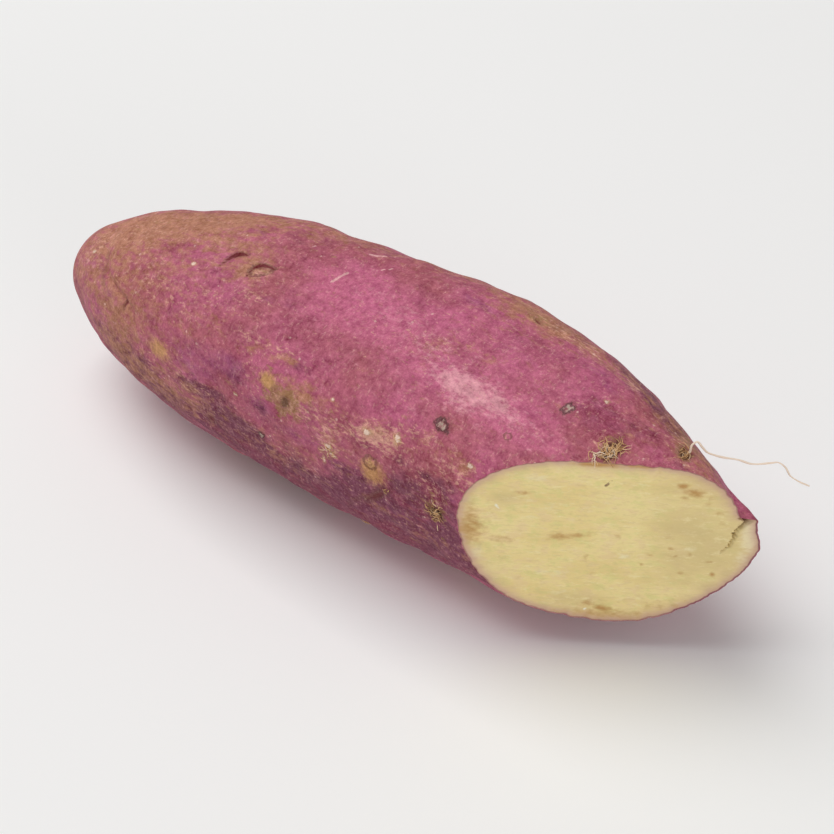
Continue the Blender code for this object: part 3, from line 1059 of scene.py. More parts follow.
    def build(self) -> bpy.types.Object:
        """Makes the mesh: rings of four-sided faces, closed with a fan at each pole.

        Returns:
            The root's object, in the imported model's frame.
        """
        sides = self.grid.sides
        tip = self.form.point(np.zeros(1), np.zeros(1), np.zeros(1))
        middle = self.face[-1].mean(axis=0)[None]
        points = np.concatenate([tip, self.skin.reshape(-1, 3), self.face.reshape(-1, 3), middle])
        low, high = (np.array(corner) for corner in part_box(NODE))
        centre = (points.min(axis=0) + points.max(axis=0)) / 2
        self.shift = (low + high) / 2 - centre
        self.shift[2] = 0.0
        points = points + self.shift
        rings = self.grid.skin_rings + self.grid.face_rings - 1
        index = 1 + np.arange(rings * sides).reshape(rings, sides)
        after = np.roll(index, -1, axis=1)
        quads = np.stack([index[:-1], index[1:], after[1:], after[:-1]], axis=-1)
        quads = quads.reshape(-1, QUAD_CORNERS)
        start = np.stack([np.zeros(sides, int), index[0], after[0]], axis=-1)
        last = np.full(sides, len(points) - 1)
        end = np.stack([index[-1], last, after[-1]], axis=-1)
        faces = quads.tolist() + start.tolist() + end.tolist()
        root = piece("sweet_potato_root", points, faces, self.attributes())
        ring_of_face = np.concatenate(
            [np.repeat(np.arange(rings - 1), sides), np.zeros(sides, int), np.full(sides, rings)]
        )
        on_face = (ring_of_face >= self.grid.skin_rings).astype(np.int32)
        root.data.polygons.foreach_set("material_index", on_face)
        self._sharpen_rim(root.data, index[self.grid.skin_rings - 1])
        return root

    @staticmethod
    def _sharpen_rim(mesh: bpy.types.Mesh, rim: Array) -> None:
        """Keeps the shading of skin and face apart along the rim's edges.

        Args:
            mesh: the root's mesh.
            rim: which of its points lie on the rim.
        """
        ends = np.empty(len(mesh.edges) * 2, np.int32)
        mesh.edges.foreach_get("vertices", ends)
        on_rim = np.isin(ends.reshape(-1, 2), rim).all(axis=1)
        sharp = mesh.attributes.new("sharp_edge", "BOOLEAN", "EDGE")
        sharp.data.foreach_set("value", on_rim)
        mesh.update()

    def skin_frame(self, station: float, degrees: float) -> tuple[Array, Array, Array, Array]:
        """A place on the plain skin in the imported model's frame, for what grows from it.

        Args:
            station: its distance from the tip, in millimetres.
            degrees: its angle.

        Returns:
            The point, the way out of the skin, the way along the root and the way round it.
        """
        at = np.array([station, station + STEP_MM, station]) * MM
        angle = np.radians([degrees, degrees, degrees + STEP_DEGREES])
        points = self.form.point(at, angle, self.form.radius(at, angle)) + self.shift
        along = points[1] - points[0]
        around = points[2] - points[0]
        out = np.cross(along, around)
        axis = points[0] - (self.form.point(at[:1], angle[:1], np.zeros(1))[0] + self.shift)
        out *= np.sign(out @ axis)
        return points[0], unit(out), unit(along), unit(around)


def unit(vector: Array) -> Array:
    """The vector at length 1."""
    return vector / np.linalg.norm(vector)


def linked(name: str, data: bpy.types.ID) -> bpy.types.Object:
    """Makes an object of the data and links it to the scene."""
    made = bpy.data.objects.new(name, data)
    bpy.context.scene.collection.objects.link(made)
    return made


def piece(
    name: str, points: Array, faces: list[list[int]], values: dict[Enum, Sequence[float]]
) -> bpy.types.Object:
    """Makes a smooth-shaded object from points and faces.

    Args:
        name: the object's name.
        points: its points, in metres.
        faces: each face's points.
        values: what its material reads at each point.

    Returns:
        The object, linked to the scene.
    """
    mesh = bpy.data.meshes.new(name)
    mesh.from_pydata(points.tolist(), [], faces)
    mesh.polygons.foreach_set("use_smooth", np.ones(len(mesh.polygons), bool))
    for kind, value in values.items():
        layer = mesh.attributes.new(kind.value, "FLOAT", "POINT")
        layer.data.foreach_set("value", np.asarray(value, np.float32))
    mesh.update()
    return linked(name, mesh)


Input = Union[float, int, tuple, "Wire"]


class Wire:
    """A node's output. Python's arithmetic on it adds Math nodes to the same shader."""

    def __init__(self, shader: "Shader", socket: bpy.types.NodeSocket) -> None:
        """Keeps the socket and the shader that it belongs to."""
        self.shader = shader
        self.socket = socket

    def _math(self, operation: str, first: Input, second: Input) -> "Wire":
        """Adds one Math node and gives its output."""
        return self.shader.node("ShaderNodeMath", {"operation": operation}, [first, second])

    def __add__(self, other: Input) -> "Wire":
        """The sum."""
        return self._math("ADD", self, other)

    def __radd__(self, other: Input) -> "Wire":
        """The sum, with a number on the left."""
        return self._math("ADD", other, self)

    def __sub__(self, other: Input) -> "Wire":
        """The difference."""
        return self._math("SUBTRACT", self, other)

    def __rsub__(self, other: Input) -> "Wire":
        """The difference, with a number on the left."""
        return self._math("SUBTRACT", other, self)

    def __mul__(self, other: Input) -> "Wire":
        """The product."""
        return self._math("MULTIPLY", self, other)

    def __rmul__(self, other: Input) -> "Wire":
        """The product, with a number on the left."""
        return self._math("MULTIPLY", other, self)

    def least(self, other: Input) -> "Wire":
        """The lesser of the two."""
        return self._math("MINIMUM", self, other)

    def between(self, low: float, high: float) -> "Wire":
        """Rises smoothly from 0 at low to 1 at high, or falls if high is the lower.

        Args:
            low: where it is 0.
            high: where it is 1.

        Returns:
            The wire's smooth step between them.
        """
        settings = {"interpolation_type": "SMOOTHSTEP", "clamp": True}
        return self.shader.node("ShaderNodeMapRange", settings, [self, low, high, 0.0, 1.0])

    def moved(self, by: Input) -> "Wire":
        """A vector plus another."""
        return self.shader.node("ShaderNodeVectorMath", {"operation": "ADD"}, [self, by])


# The noises of the finishes, from broad ones to fine ones, and specks at scattered points.
Noise = Enum("Noise", "BROAD CLOUD PATCH TINT BLOT GRAIN FIBRE FLECK FINE SCUFF STREAK SPECK")


@dataclass(frozen=True)
class Cloud:
    """A noise's size in metres, its detail and roughness, and how it is stretched on each axis."""

    size: float
    detail: float = 2.0
    rough: float = 0.5
    stretch: Triple = (1.0, 1.0, 1.0)


@dataclass(frozen=True)
class Layer:
    """A colour that lies over what is under it.

    It covers nothing where its source is at the low limit, and its full cover where that is at
    the high one. A second source may thin it, in the same way between its own limits.
    """

    source: Enum
    low: float
    high: float
    cover: float
    colour: Colour
    thinner: Optional[Enum] = None
    thin_low: float = 0.0
    thin_high: float = 1.0


Sources = dict[Enum, Wire]


class Shader:
    """One material and the nodes in it."""

    VALUE_OUTPUT = 2
    OBJECT_OUTPUT = 3

    def __init__(self, name: str) -> None:
        """Makes the material, with only its output and one Principled BSDF.

        Args:
            name: the material's name.
        """
        self.material = bpy.data.materials.new(name)
        self.material.use_nodes = True
        self.tree = self.material.node_tree
        self.surface = self.tree.nodes["Principled BSDF"]

    def node(
        self, kind: str, settings: dict[str, Any], values: Sequence[Input], out: int = 0
    ) -> Wire:
        """Makes a node, sets its settings, and then feeds its inputs.

        Args:
            kind: the node's type.
            settings: its properties.
            values: what each input gets, in order: a value, a link, or None to leave it.
            out: which output to give.

        Returns:
            That output.
        """
        made = self.tree.nodes.new(kind)
        for name, value in settings.items():
            setattr(made, name, value)
        inputs = [socket for socket in made.inputs if socket.enabled]
        for socket, value in zip(inputs, values):
            self.feed(socket, value)
        outputs = [socket for socket in made.outputs if socket.enabled]
        return Wire(self, outputs[out])

    def feed(self, socket: bpy.types.NodeSocket, value: Optional[Input]) -> None:
        """Links a wire to an input, or sets the input's value.

        Args:
            socket: the node's input.
            value: a wire, a number or a triple; None leaves the input as it is.
        """
        if isinstance(value, Wire):
            self.tree.links.new(value.socket, socket)
        elif value is not None:
            wants_colour = socket.type == "RGBA" and isinstance(value, tuple)
            socket.default_value = (*value, 1.0) if wants_colour else value

    def attribute(self, name: Enum) -> Wire:
        """A value that the mesh carries at each of its points."""
        settings = {"attribute_name": name.value, "attribute_type": "GEOMETRY"}
        return self.node("ShaderNodeAttribute", settings, [], out=self.VALUE_OUTPUT)

    def place(self) -> Wire:
        """Where on the piece a point is, in metres."""
        return self.node("ShaderNodeTexCoord", {}, [], out=self.OBJECT_OUTPUT)

    def turned(self, place: Wire, stretch: Triple, turn: float = 0.0) -> Wire:
        """Turns a place about Z, then divides it by a stretch, axis by axis."""
        values = [place, (0.0, 0.0, 0.0), (0.0, 0.0, turn), stretch]
        return self.node("ShaderNodeMapping", {"vector_type": "TEXTURE"}, values)

    def noise(self, place: Wire, cloud: Cloud, turn: float = 0.0) -> Wire:
        """Cloudy noise around 0.5.

        Args:
            place: where on the piece each point is.
            cloud: the noise's size, detail, roughness and stretch.
            turn: how far about Z its stretch is turned.

        Returns:
            The noise at each point.
        """
        if cloud.stretch != Cloud.stretch:
            place = self.turned(place, cloud.stretch, turn)
        values = [place, 1.0 / cloud.size, cloud.detail, cloud.rough]
        return self.node("ShaderNodeTexNoise", {"noise_dimensions": "3D"}, values)

    def cells(self, place: Wire, size: float) -> Wire:
        """The distance to the nearest of scattered points, in units of their spacing."""
        settings = {"voronoi_dimensions": "3D", "feature": "F1"}
        return self.node("ShaderNodeTexVoronoi", settings, [place, 1.0 / size])

    def layered(self, colour: Input, layers: Sequence[Layer], sources: Sources) -> Wire:
        """Lays colours over a colour.

        Args:
            colour: what lies under them.
            layers: the colours, from the lowest to the top one.
            sources: the wires that the layers name.

        Returns:
            The colour with all the layers over it.
        """
        for layer in layers:
            amount = sources[layer.source].between(layer.low, layer.high)
            if layer.thinner is not None:
                amount = amount * sources[layer.thinner].between(layer.thin_low, layer.thin_high)
            colour = self.mix(amount * layer.cover, colour, layer.colour)
        return colour

    def mix(self, amount: Input, first: Input, second: Input) -> Wire:
        """The first colour, giving way to the second as the amount goes from 0 to 1."""
        settings = {"data_type": "RGBA", "blend_type": "MIX", "clamp_factor": True}
        return self.node("ShaderNodeMix", settings, [amount, first, second])

    def shade(self, amount: Input, colour: Input) -> Wire:
        """A colour times a grey: below 1 it darkens, above 1 it lightens."""
        settings = {"operation": "SCALE"}
        return self.node("ShaderNodeVectorMath", settings, [colour, amount])

    def bump(self, height: Wire, distance: float) -> Wire:
        """Relief from a height of 0 to 1 that stands for the given distance."""
        return self.node("ShaderNodeBump", {}, [1.0, distance, None, height])

    def dress(self, **inputs: Input) -> bpy.types.Material:
        """Feeds the Principled BSDF.

        Args:
            inputs: what its inputs get, by their names with _ for a space.

        Returns:
            The finished material.
        """
        for name, value in inputs.items():
            self.feed(self.surface.inputs[name.replace("_", " ")], value)
        return self.material


@dataclass(frozen=True)
class Coat(Layer):
    """One paint's layer, and how its soft patches break up over the skin.

    Its source is the paint's strength, plus noise less a half times the raggedness.
    """

    lumps: float = 0.0045
    ragged: float = 2.0


COATS = (
    Coat(Paint.VIOLET, 0.20, 0.95, 0.72, (0.34, 0.080, 0.195), lumps=0.0040, ragged=2.0),
    # Plum: dark purple, and painted shade along the low side and in the creases.
    Coat(Paint.PLUM_AND_SHADE, 0.20, 0.95, 0.82, (0.150, 0.038, 0.070), lumps=0.0035, ragged=2.2),
    Coat(Paint.PINK, 0.10, 0.90, 0.60, (0.60, 0.140, 0.265), lumps=0.0050, ragged=2.0),
    # Wine: deep red, and painted shade along the underside.
    Coat(Paint.WINE_AND_SHADE, 0.20, 0.85, 0.70, (0.26, 0.038, 0.075), lumps=0.0025, ragged=2.4),
    Coat(Paint.CORK, 0.15, 1.10, 0.92, (0.45, 0.200, 0.115), lumps=0.0014, ragged=2.7),
    Coat(Paint.OLIVE, 0.30, 1.00, 0.80, (0.37, 0.210, 0.088), lumps=0.0012, ragged=3.4),
    # Bloom: pale pink dusty bloom, and a painted highlight along the top.
    Coat(Paint.BLOOM, 0.15, 1.35, 0.85, (0.76, 0.350, 0.400), lumps=0.0009, ragged=3.4),
    Coat(Paint.FROST, 0.40, 1.40, 0.80, (0.72, 0.390, 0.290), lumps=0.0007, ragged=5.0),
)

SKIN_NOISES: dict[Noise, Cloud] = {
    Noise.BROAD: Cloud(0.022, 3.0, 0.55),
    Noise.PATCH: Cloud(0.006, 4.0, 0.60, (1.8, 1.0, 1.0)),
    Noise.BLOT: Cloud(0.0028, 4.0, 0.62),
    Noise.GRAIN: Cloud(0.0026, 3.5, 1.0),
    Noise.FINE: Cloud(0.0009, 3.0, 0.65),
    Noise.SCUFF: Cloud(0.0006, 3.0, 0.7, (1.0, 2.2, 2.2)),
}

# How far the fine noises roughen the edge of each kind of mark and line.
RAGGED: dict[Enum, float] = {
    MarkKind.SPOT: 1.1,
    MarkKind.EYE: 0.6,
    MarkKind.KNOB: 1.3,
    MarkKind.SCAR: 0.9,
    MarkKind.SLIT: 0.35,
    MarkKind.NAIL_DENT: 0.20,
    LineKind.WRINKLE: 0.8,
    LineKind.SCRATCH: 0.6,
    MarkKind.SCAB: 1.5,
}


@dataclass(frozen=True)
class SkinFinish:
    """The dull, dusty skin: rose and magenta under its coats, with grain and marks, painted shade in
    its hollows, creases and low side, and a painted highlight along its top.
    """

    rose: Colour = (0.40, 0.102, 0.132)
    magenta: Colour = (0.47, 0.107, 0.195)
    deep: Colour = (0.27, 0.060, 0.110)
    dust: Colour = (0.70, 0.360, 0.330)
    speck: Colour = (0.80, 0.52, 0.46)
    tan: Colour = (0.55, 0.34, 0.17)
    ochre: Colour = (0.64, 0.340, 0.140)
    bark: Colour = (0.14, 0.065, 0.035)
    grey: Colour = (0.085, 0.042, 0.045)
    chalk: Colour = (0.50, 0.42, 0.33)
    # Painted shadow: the near black inside the slits and along the nail dents' upper edges.
    hollow_shadow: Colour = (0.170, 0.020, 0.026)
    scab: Colour = (0.83, 0.63, 0.51)
    # Painted shade: darkens the hollows round the marks and along the wrinkles.
    gap: Colour = (0.19, 0.075, 0.055)
    scratch: Colour = (0.80, 0.44, 0.44)
    speck_size: float = 0.0040
    coat_detail: float = 5.0
    coat_rough: float = 0.66
    scuff_share: float = 0.9
    grain_shade: float = 1.4
    grain_lift: float = 0.15
    fine_bump: float = 0.5
    blot_bump: float = 0.4
    grain_bump: float = 0.5
    bump: float = 0.00022
    roughness: float = 0.68
    rough_spread: float = 0.25
    roughest: float = 0.9
    specular: float = 0.22

    def layers(self) -> tuple[Layer, ...]:
        """Gives each layer's source, its low and high limits, its cover and its colour.

        Some also have a source that thins them, with its own limits.

        Returns:
            The layers, from the broad colours over the coats and the dust to the marks.
        """
        return (
            Layer(Noise.BROAD, 0.35, 0.68, 1.0, self.magenta),
            Layer(Noise.PATCH, 0.52, 0.78, 0.45, self.deep),
            *COATS,
            Layer(Noise.SCUFF, 0.54, 0.74, 0.50, self.dust),
            Layer(Noise.SPECK, 0.085, 0.050, 0.55, self.speck),
            Layer(MarkKind.SPOT, -0.20, 0.70, 0.85, self.ochre),
            # The gap layers darken the hollows round the marks and along the wrinkles as painted
            # shade.
            Layer(MarkKind.EYE, -0.60, 0.0, 0.45, self.gap),
            Layer(MarkKind.EYE, 0.0, 0.35, 0.85, self.bark),
            Layer(MarkKind.EYE, -0.2, 0.2, 0.8, self.tan, Noise.FINE, 0.56, 0.66),
            Layer(MarkKind.KNOB, -0.35, 0.10, 0.40, self.gap),
            Layer(MarkKind.KNOB, 0.0, 0.20, 0.70, self.grey, MarkKind.KNOB, 0.65, 0.35),
            Layer(MarkKind.KNOB, 0.35, 0.75, 0.80, self.chalk, Noise.SCUFF, 0.40, 0.56),
            Layer(MarkKind.SCAR, 0.10, 0.50, 0.35, self.tan, Noise.SCUFF, 0.42, 0.62),
            Layer(MarkKind.SCAR, -0.12, 0.06, 0.66, self.gap, MarkKind.SCAR, 0.50, 0.18),
            Layer(MarkKind.SLIT, -0.5, 0.2, 0.40, self.gap),
            # The slits and the nail dents' edges are painted dark as the shadow in them.
            Layer(MarkKind.SLIT, 0.25, 0.70, 0.70, self.hollow_shadow),
            Layer(MarkKind.NAIL_DENT, -0.8, 0.1, 0.45, self.gap),
            Layer(MarkKind.NAIL_DENT, 0.10, 0.50, 0.95, self.hollow_shadow),
            Layer(LineKind.WRINKLE, -0.20, 0.70, 0.32, self.gap),
            Layer(LineKind.SCRATCH, 0.0, 0.5, 0.85, self.scratch),
            Layer(MarkKind.SCAB, -0.50, 0.0, 0.45, self.tan),
            Layer(MarkKind.SCAB, 0.05, 0.40, 0.90, self.scab),
        )

    def sources(self, skin: Shader) -> Sources:
        """Makes every wire that the layers name.

        Args:
            skin: the skin's shader.

        Returns:
            The noises, the broken-up paints, and the marks and lines with ragged edges.
        """
        place = skin.place()
        sources: Sources = {one: skin.noise(place, cloud) for one, cloud in SKIN_NOISES.items()}
        sources[Noise.SPECK] = skin.cells(place, self.speck_size)
        along = skin.turned(place, SKIN_NOISES[Noise.PATCH].stretch)
        # Each coat's lumps are read a metre further along, so that no two coats' are alike.
        for number, coat in enumerate(COATS):
            lumps = Cloud(coat.lumps, self.coat_detail, self.coat_rough)
            lumpy = skin.noise(along.moved((number + 0.5, 0.0, 0.0)), lumps) - 0.5
            sources[coat.source] = skin.attribute(coat.source) + lumpy * coat.ragged
        jitter = (sources[Noise.FINE] - 0.5) + (sources[Noise.SCUFF] - 0.5) * self.scuff_share
        for kind, share in RAGGED.items():
            sources[kind] = skin.attribute(kind) + jitter * share
        return sources

    def build(self) -> bpy.types.Material:
        """Lays the layers, then shades them by the grain.

        Returns:
            The skin's material.
        """
        skin = Shader("root_skin")
        sources = self.sources(skin)
        grain, fine = sources[Noise.GRAIN] - 0.5, sources[Noise.FINE]
        colour = skin.layered(self.rose, self.layers(), sources)
        colour = skin.shade(grain * self.grain_shade + 1.0, colour).moved(grain * self.grain_lift)
        relief = fine * self.fine_bump + sources[Noise.BLOT] * self.blot_bump
        rough = self.roughness + (fine - 0.5) * self.rough_spread
        return skin.dress(
            Base_Color=colour,
            Roughness=rough.least(self.roughest),
            Specular_IOR_Level=self.specular,
            Normal=skin.bump(relief + grain * self.grain_bump, self.bump),
        )


FLESH_NOISES: dict[Noise, Cloud] = {
    Noise.CLOUD: Cloud(0.006, 3.0, 0.5, (2.2, 1.0, 1.0)),
    Noise.TINT: Cloud(0.0030, 4.0, 0.65, (1.5, 1.0, 1.0)),
    Noise.FIBRE: Cloud(0.0012, 4.0, 0.75, (2.6, 1.0, 1.0)),
    Noise.FLECK: Cloud(0.0012, 3.0, 0.6, (1.6, 1.0, 1.0)),
    Noise.STREAK: Cloud(0.0006, 3.0, 0.7, (4.0, 1.0, 1.0)),
}


@dataclass(frozen=True)
class FleshFinish:
    """The pale cut flesh, with fibres along the knife's way, stains and a purple rind, which is
    stronger along the lower right as painted shade.
    """

    cream: Colour = (0.87, 0.712, 0.325)
    warm: Colour = (0.85, 0.665, 0.275)
    pale: Colour = (0.93, 0.805, 0.460)
    beige: Colour = (0.68, 0.530, 0.240)
    milk: Colour = (0.89, 0.800, 0.500)
    blush: Colour = (0.84, 0.620, 0.340)
    green: Colour = (0.72, 0.660, 0.240)
    ring: Colour = (0.57, 0.340, 0.265)
    edge: Colour = (0.22, 0.055, 0.085)
    brown: Colour = (0.50, 0.262, 0.070)
    # The white of the sap drops and of the painted highlight among them.
    white: Colour = (0.92, 0.880, 0.740)
    # Painted shade: the dark of the crack and the nicks.
    crack: Colour = (0.11, 0.030, 0.015)
    uneven: float = 0.0012
    brown_ragged: float = 1.4
    rind_uneven: float = 0.35
    rind_reach: float = 0.00050
    rind_full: float = 0.00018
    fibre_bump: float = 0.6
    streak_bump: float = 0.4
    bump: float = 0.00010
    roughness: float = 0.46
    rough_spread: float = 0.2
    specular: float = 0.45

    def flesh_layers(self) -> tuple[Layer, ...]:
        """Gives the layers of the flesh itself and its stains, as the skin's are given.

        Returns:
            The layers, from the broad tints over the fibres and the edge to the brown stains.
        """
        return (
            Layer(Noise.CLOUD, 0.35, 0.65, 1.0, self.warm),
            Layer(Noise.TINT, 0.50, 0.64, 0.55, self.blush),
            Layer(Noise.TINT, 0.50, 0.36, 0.55, self.green),
            Layer(FaceKind.TINGE, -0.05, 0.70, 1.0, self.beige),
            Layer(FaceKind.MILKY, 0.15, 0.75, 0.8, self.milk),
            Layer(Noise.FIBRE, 0.50, 0.72, 0.50, self.pale),
            Layer(Noise.STREAK, 0.50, 0.36, 0.35, self.beige),
            Layer(FaceValue.INSET, 0.0040, 0.0, 0.42, self.ring),
            Layer(FaceValue.INSET, 0.0020, 0.0, 0.72, self.ring),
            Layer(FaceKind.BROWN, 0.04, 1.05, 0.95, self.brown),
        )

    def top_layers(self) -> tuple[Layer, ...]:
        """Gives the layers that lie over the rind.

        Returns:
            The nicks and the crack, painted dark as the shade in them, and the drops, white sap with
            a painted highlight among them.
        """
        return (
            Layer(FaceKind.NICK, 0.25, 0.6, 0.8, self.crack),
            Layer(FaceKind.DROP_AND_GLINT, 0.35, 0.85, 0.9, self.white),
            Layer(FaceValue.GROOVE, 0.05, 0.45, 0.95, self.crack),
        )

    def build(self, cut_turn: float) -> bpy.types.Material:
        """Lays the flesh's layers, the rind and what lies over it.

        Args:
            cut_turn: the turn of the cut, which its fibres follow.

        Returns:
            The flesh's material.
        """
        flesh = Shader("root_flesh")
        place = flesh.place()
        turn = math.pi / 2 - cut_turn
        sources: Sources = {
            one: flesh.noise(place, cloud, turn) for one, cloud in FLESH_NOISES.items()
        }
        fleck = sources[Noise.FLECK] - 0.5
        uneven = fleck * self.uneven
        for value in (*FaceKind, *FaceValue):
            sources[value] = flesh.attribute(value)
        inset = sources[FaceValue.INSET]
        sources[FaceValue.INSET] = inset + uneven
        sources[FaceKind.TINGE] += sources[Noise.CLOUD] - 0.5
        sources[FaceKind.MILKY] += fleck
        sources[FaceKind.BROWN] += fleck * self.brown_ragged
        colour = flesh.layered(self.cream, self.flesh_layers(), sources)
        rind = (inset + uneven * self.rind_uneven).between(self.rind_reach, self.rind_full)
        # The rind: the skin's edge round the cut, made stronger along the lower right as painted
        # shade.
        colour = flesh.mix(rind * sources[FaceValue.RIND], colour, self.edge)
        colour = flesh.layered(colour, self.top_layers(), sources)
        fibre, streak = sources[Noise.FIBRE], sources[Noise.STREAK]
        relief = fibre * self.fibre_bump + streak * self.streak_bump
        return flesh.dress(
            Base_Color=colour,
            Roughness=self.roughness + (fibre - 0.5) * self.rough_spread,
            Specular_IOR_Level=self.specular,
            Normal=flesh.bump(relief, self.bump),
        )


class HairValue(Enum):
    """What each point of a hair has."""

    TONE = "tone"


@dataclass(frozen=True)
class HairFinish:
    """Dry root hairs, each of its own tone from olive over tan to nearly white."""

    olive: Colour = (0.32, 0.145, 0.065)
    tan: Colour = (0.70, 0.430, 0.200)
    cream: Colour = (0.88, 0.720, 0.580)
    tan_tone: float = 0.5
    noise: Cloud = Cloud(0.0012)
    ragged: float = 0.4
    roughness: float = 0.7
    specular: float = 0.3

    def build(self) -> bpy.types.Material:
        """Mixes the three tones by each hair's own value, with a little noise.

        Returns:
            The hairs' material.
        """
        hair = Shader("root_hair")
        uneven = (hair.noise(hair.place(), self.noise) - 0.5) * self.ragged
        tone = hair.attribute(HairValue.TONE) + uneven
        layers = (
            Layer(HairValue.TONE, 0.0, self.tan_tone, 1.0, self.tan),
            Layer(HairValue.TONE, self.tan_tone, 1.0, 1.0, self.cream),
        )
        return hair.dress(
            Base_Color=hair.layered(self.olive, layers, {HairValue.TONE: tone}),
            Roughness=self.roughness,
            Specular_IOR_Level=self.specular,
        )


@dataclass(frozen=True)
class FloorFinish:
    """A plain pale matt floor."""

    white: Colour = (0.94, 0.938, 0.932)
    roughness: float = 0.8

    def build(self) -> bpy.types.Material:
        """One even colour."""
        return Shader("floor").dress(Base_Color=self.white, Roughness=self.roughness)


def tube(path: Array, radius: Array, sides: int) -> tuple[Array, list[list[int]]]:
    """A closed tube along a path: at each point a ring square to the path, with capped ends.

    Args:
        path: the middle line's points, in order.
        radius: the tube's radius at each point.
        sides: how many points a ring has.

    Returns:
        The tube's points and its faces.
    """
    ahead = np.gradient(path, axis=0)
    ahead /= np.linalg.norm(ahead, axis=1)[:, None]
    helper = [0.0, 0.0, 1.0] if abs(ahead[0, 2]) < NEARLY_UPRIGHT else [1.0, 0.0, 0.0]
    side = np.cross(ahead, helper)
    side /= np.linalg.norm(side, axis=1)[:, None]
    over = np.cross(side, ahead)
    turn = np.linspace(0, FULL_TURN, sides, endpoint=False)
    ring = side[:, None] * np.cos(turn)[:, None] + over[:, None] * np.sin(turn)[:, None]
    points = (path[:, None] + ring * radius[:, None, None]).reshape(-1, 3)
    index = np.arange(len(points)).reshape(len(path), sides)
    after = np.roll(index, -1, axis=1)
    quads = np.stack([index[:-1], after[:-1], after[1:], index[1:]], axis=-1)
    faces = quads.reshape(-1, QUAD_CORNERS).tolist() + [index[0][::-1].tolist(), index[-1].tolist()]
    return points, faces


@dataclass(frozen=True)
class Tuft:
    """A few short root hairs that grow from one eye, in millimetres and degrees.

    Each lies over the skin in a low arc. The tone is that of most of its hairs, from 0, olive,
    over tan to 1, nearly white.
    """

    station: float
    degrees: float
    along: float
    around: float
    count: int
    length: float
    thickness: float
    tone: float


@dataclass(frozen=True)
class RootHairs:
    """The tufts of short hairs."""

    tufts: tuple[Tuft, ...] = (
        Tuft(139.2, 12.0, 1.1, 1.9, 46, 2.1, 0.18, 0.48),
        Tuft(140.6, 6.0, 0.9, 1.5, 26, 1.9, 0.17, 0.42),
        Tuft(137.9, 18.0, 0.8, 1.4, 14, 1.9, 0.20, 0.62),
        Tuft(149.8, -23.0, 1.3, 2.4, 34, 1.7, 0.16, 0.38),
        Tuft(112.0, 84.5, 1.9, 1.9, 36, 1.6, 0.19, 0.44),
        Tuft(86.0, 81.0, 1.6, 2.2, 14, 1.3, 0.17, 0.60),
        Tuft(101.5, 59.5, 0.4, 0.8, 5, 1.2, 0.18, 0.80),
        Tuft(96.3, 75.0, 0.9, 0.9, 9, 1.1, 0.17, 0.45),
        Tuft(64.0, -96.0, 1.2, 1.0, 14, 2.0, 0.22, 0.50),
        Tuft(88.0, 140.0, 1.0, 0.8, 10, 1.6, 0.20, 0.50),
        Tuft(36.0, -140.0, 1.0, 0.8, 10, 1.7, 0.20, 0.50),
        Tuft(100.2, 87.0, 0.8, 1.4, 6, 0.9, 0.18, 0.25),
    )
    seed: int = 23
    joints: int = 10
    sides: int = 6
    sunk: float = 0.1
    lengths: tuple[float, float] = (0.5, 1.15)
    arcs: tuple[float, float] = (0.04, 0.20)
    waves: tuple[float, float] = (1.0, 3.5)
    curls: tuple[float, float] = (-0.45, 0.45)
    thicknesses: tuple[float, float] = (0.7, 1.2)
    tones: tuple[float, float] = (-0.35, 0.35)
    taper: float = 0.5

    def build(self, root: SweetPotatoRoot) -> bpy.types.Object:
        """Makes every tuft as one mesh of thin curved tubes, rooted in the skin.

        Args:
            root: the root that they grow from.

        Returns:
            The tufts' object.
        """
        draw = np.random.default_rng(self.seed)
        points, faces, tones = [], [], []
        run = np.linspace(-self.sunk, 1, self.joints)[:, None]
        for tuft in self.tufts:
            place, out, along, around = root.skin_frame(tuft.station, tuft.degrees)
            for _ in range(tuft.count):
                offset = draw.normal(size=2) * MM / 2
                heading = draw.uniform(0, FULL_TURN)
                ahead = along * math.cos(heading) + around * math.sin(heading)
                aside = around * math.cos(heading) - along * math.sin(heading)
                length = tuft.length * MM * draw.uniform(*self.lengths)
                arc = np.sin(run * math.pi) * draw.uniform(*self.arcs)
                curl = np.sin(run * draw.uniform(*self.waves)) * draw.uniform(*self.curls)
                start = place + along * offset[0] * tuft.along + around * offset[1] * tuft.around
                path = start + length * (run * ahead + arc * out + curl * aside)
                thinner = 1 - self.taper * np.clip(run[:, 0], 0, 1)
                radius = tuft.thickness * MM / 2 * thinner * draw.uniform(*self.thicknesses)
                ring, quads = tube(path, radius, self.sides)
                base = sum(len(one) for one in points)
                faces += [[base + corner for corner in face] for face in quads]
                points.append(ring)
                tones += [tuft.tone + draw.uniform(*self.tones)] * len(ring)
        return piece("root_hairs", np.concatenate(points), faces, {HairValue.TONE: tones})


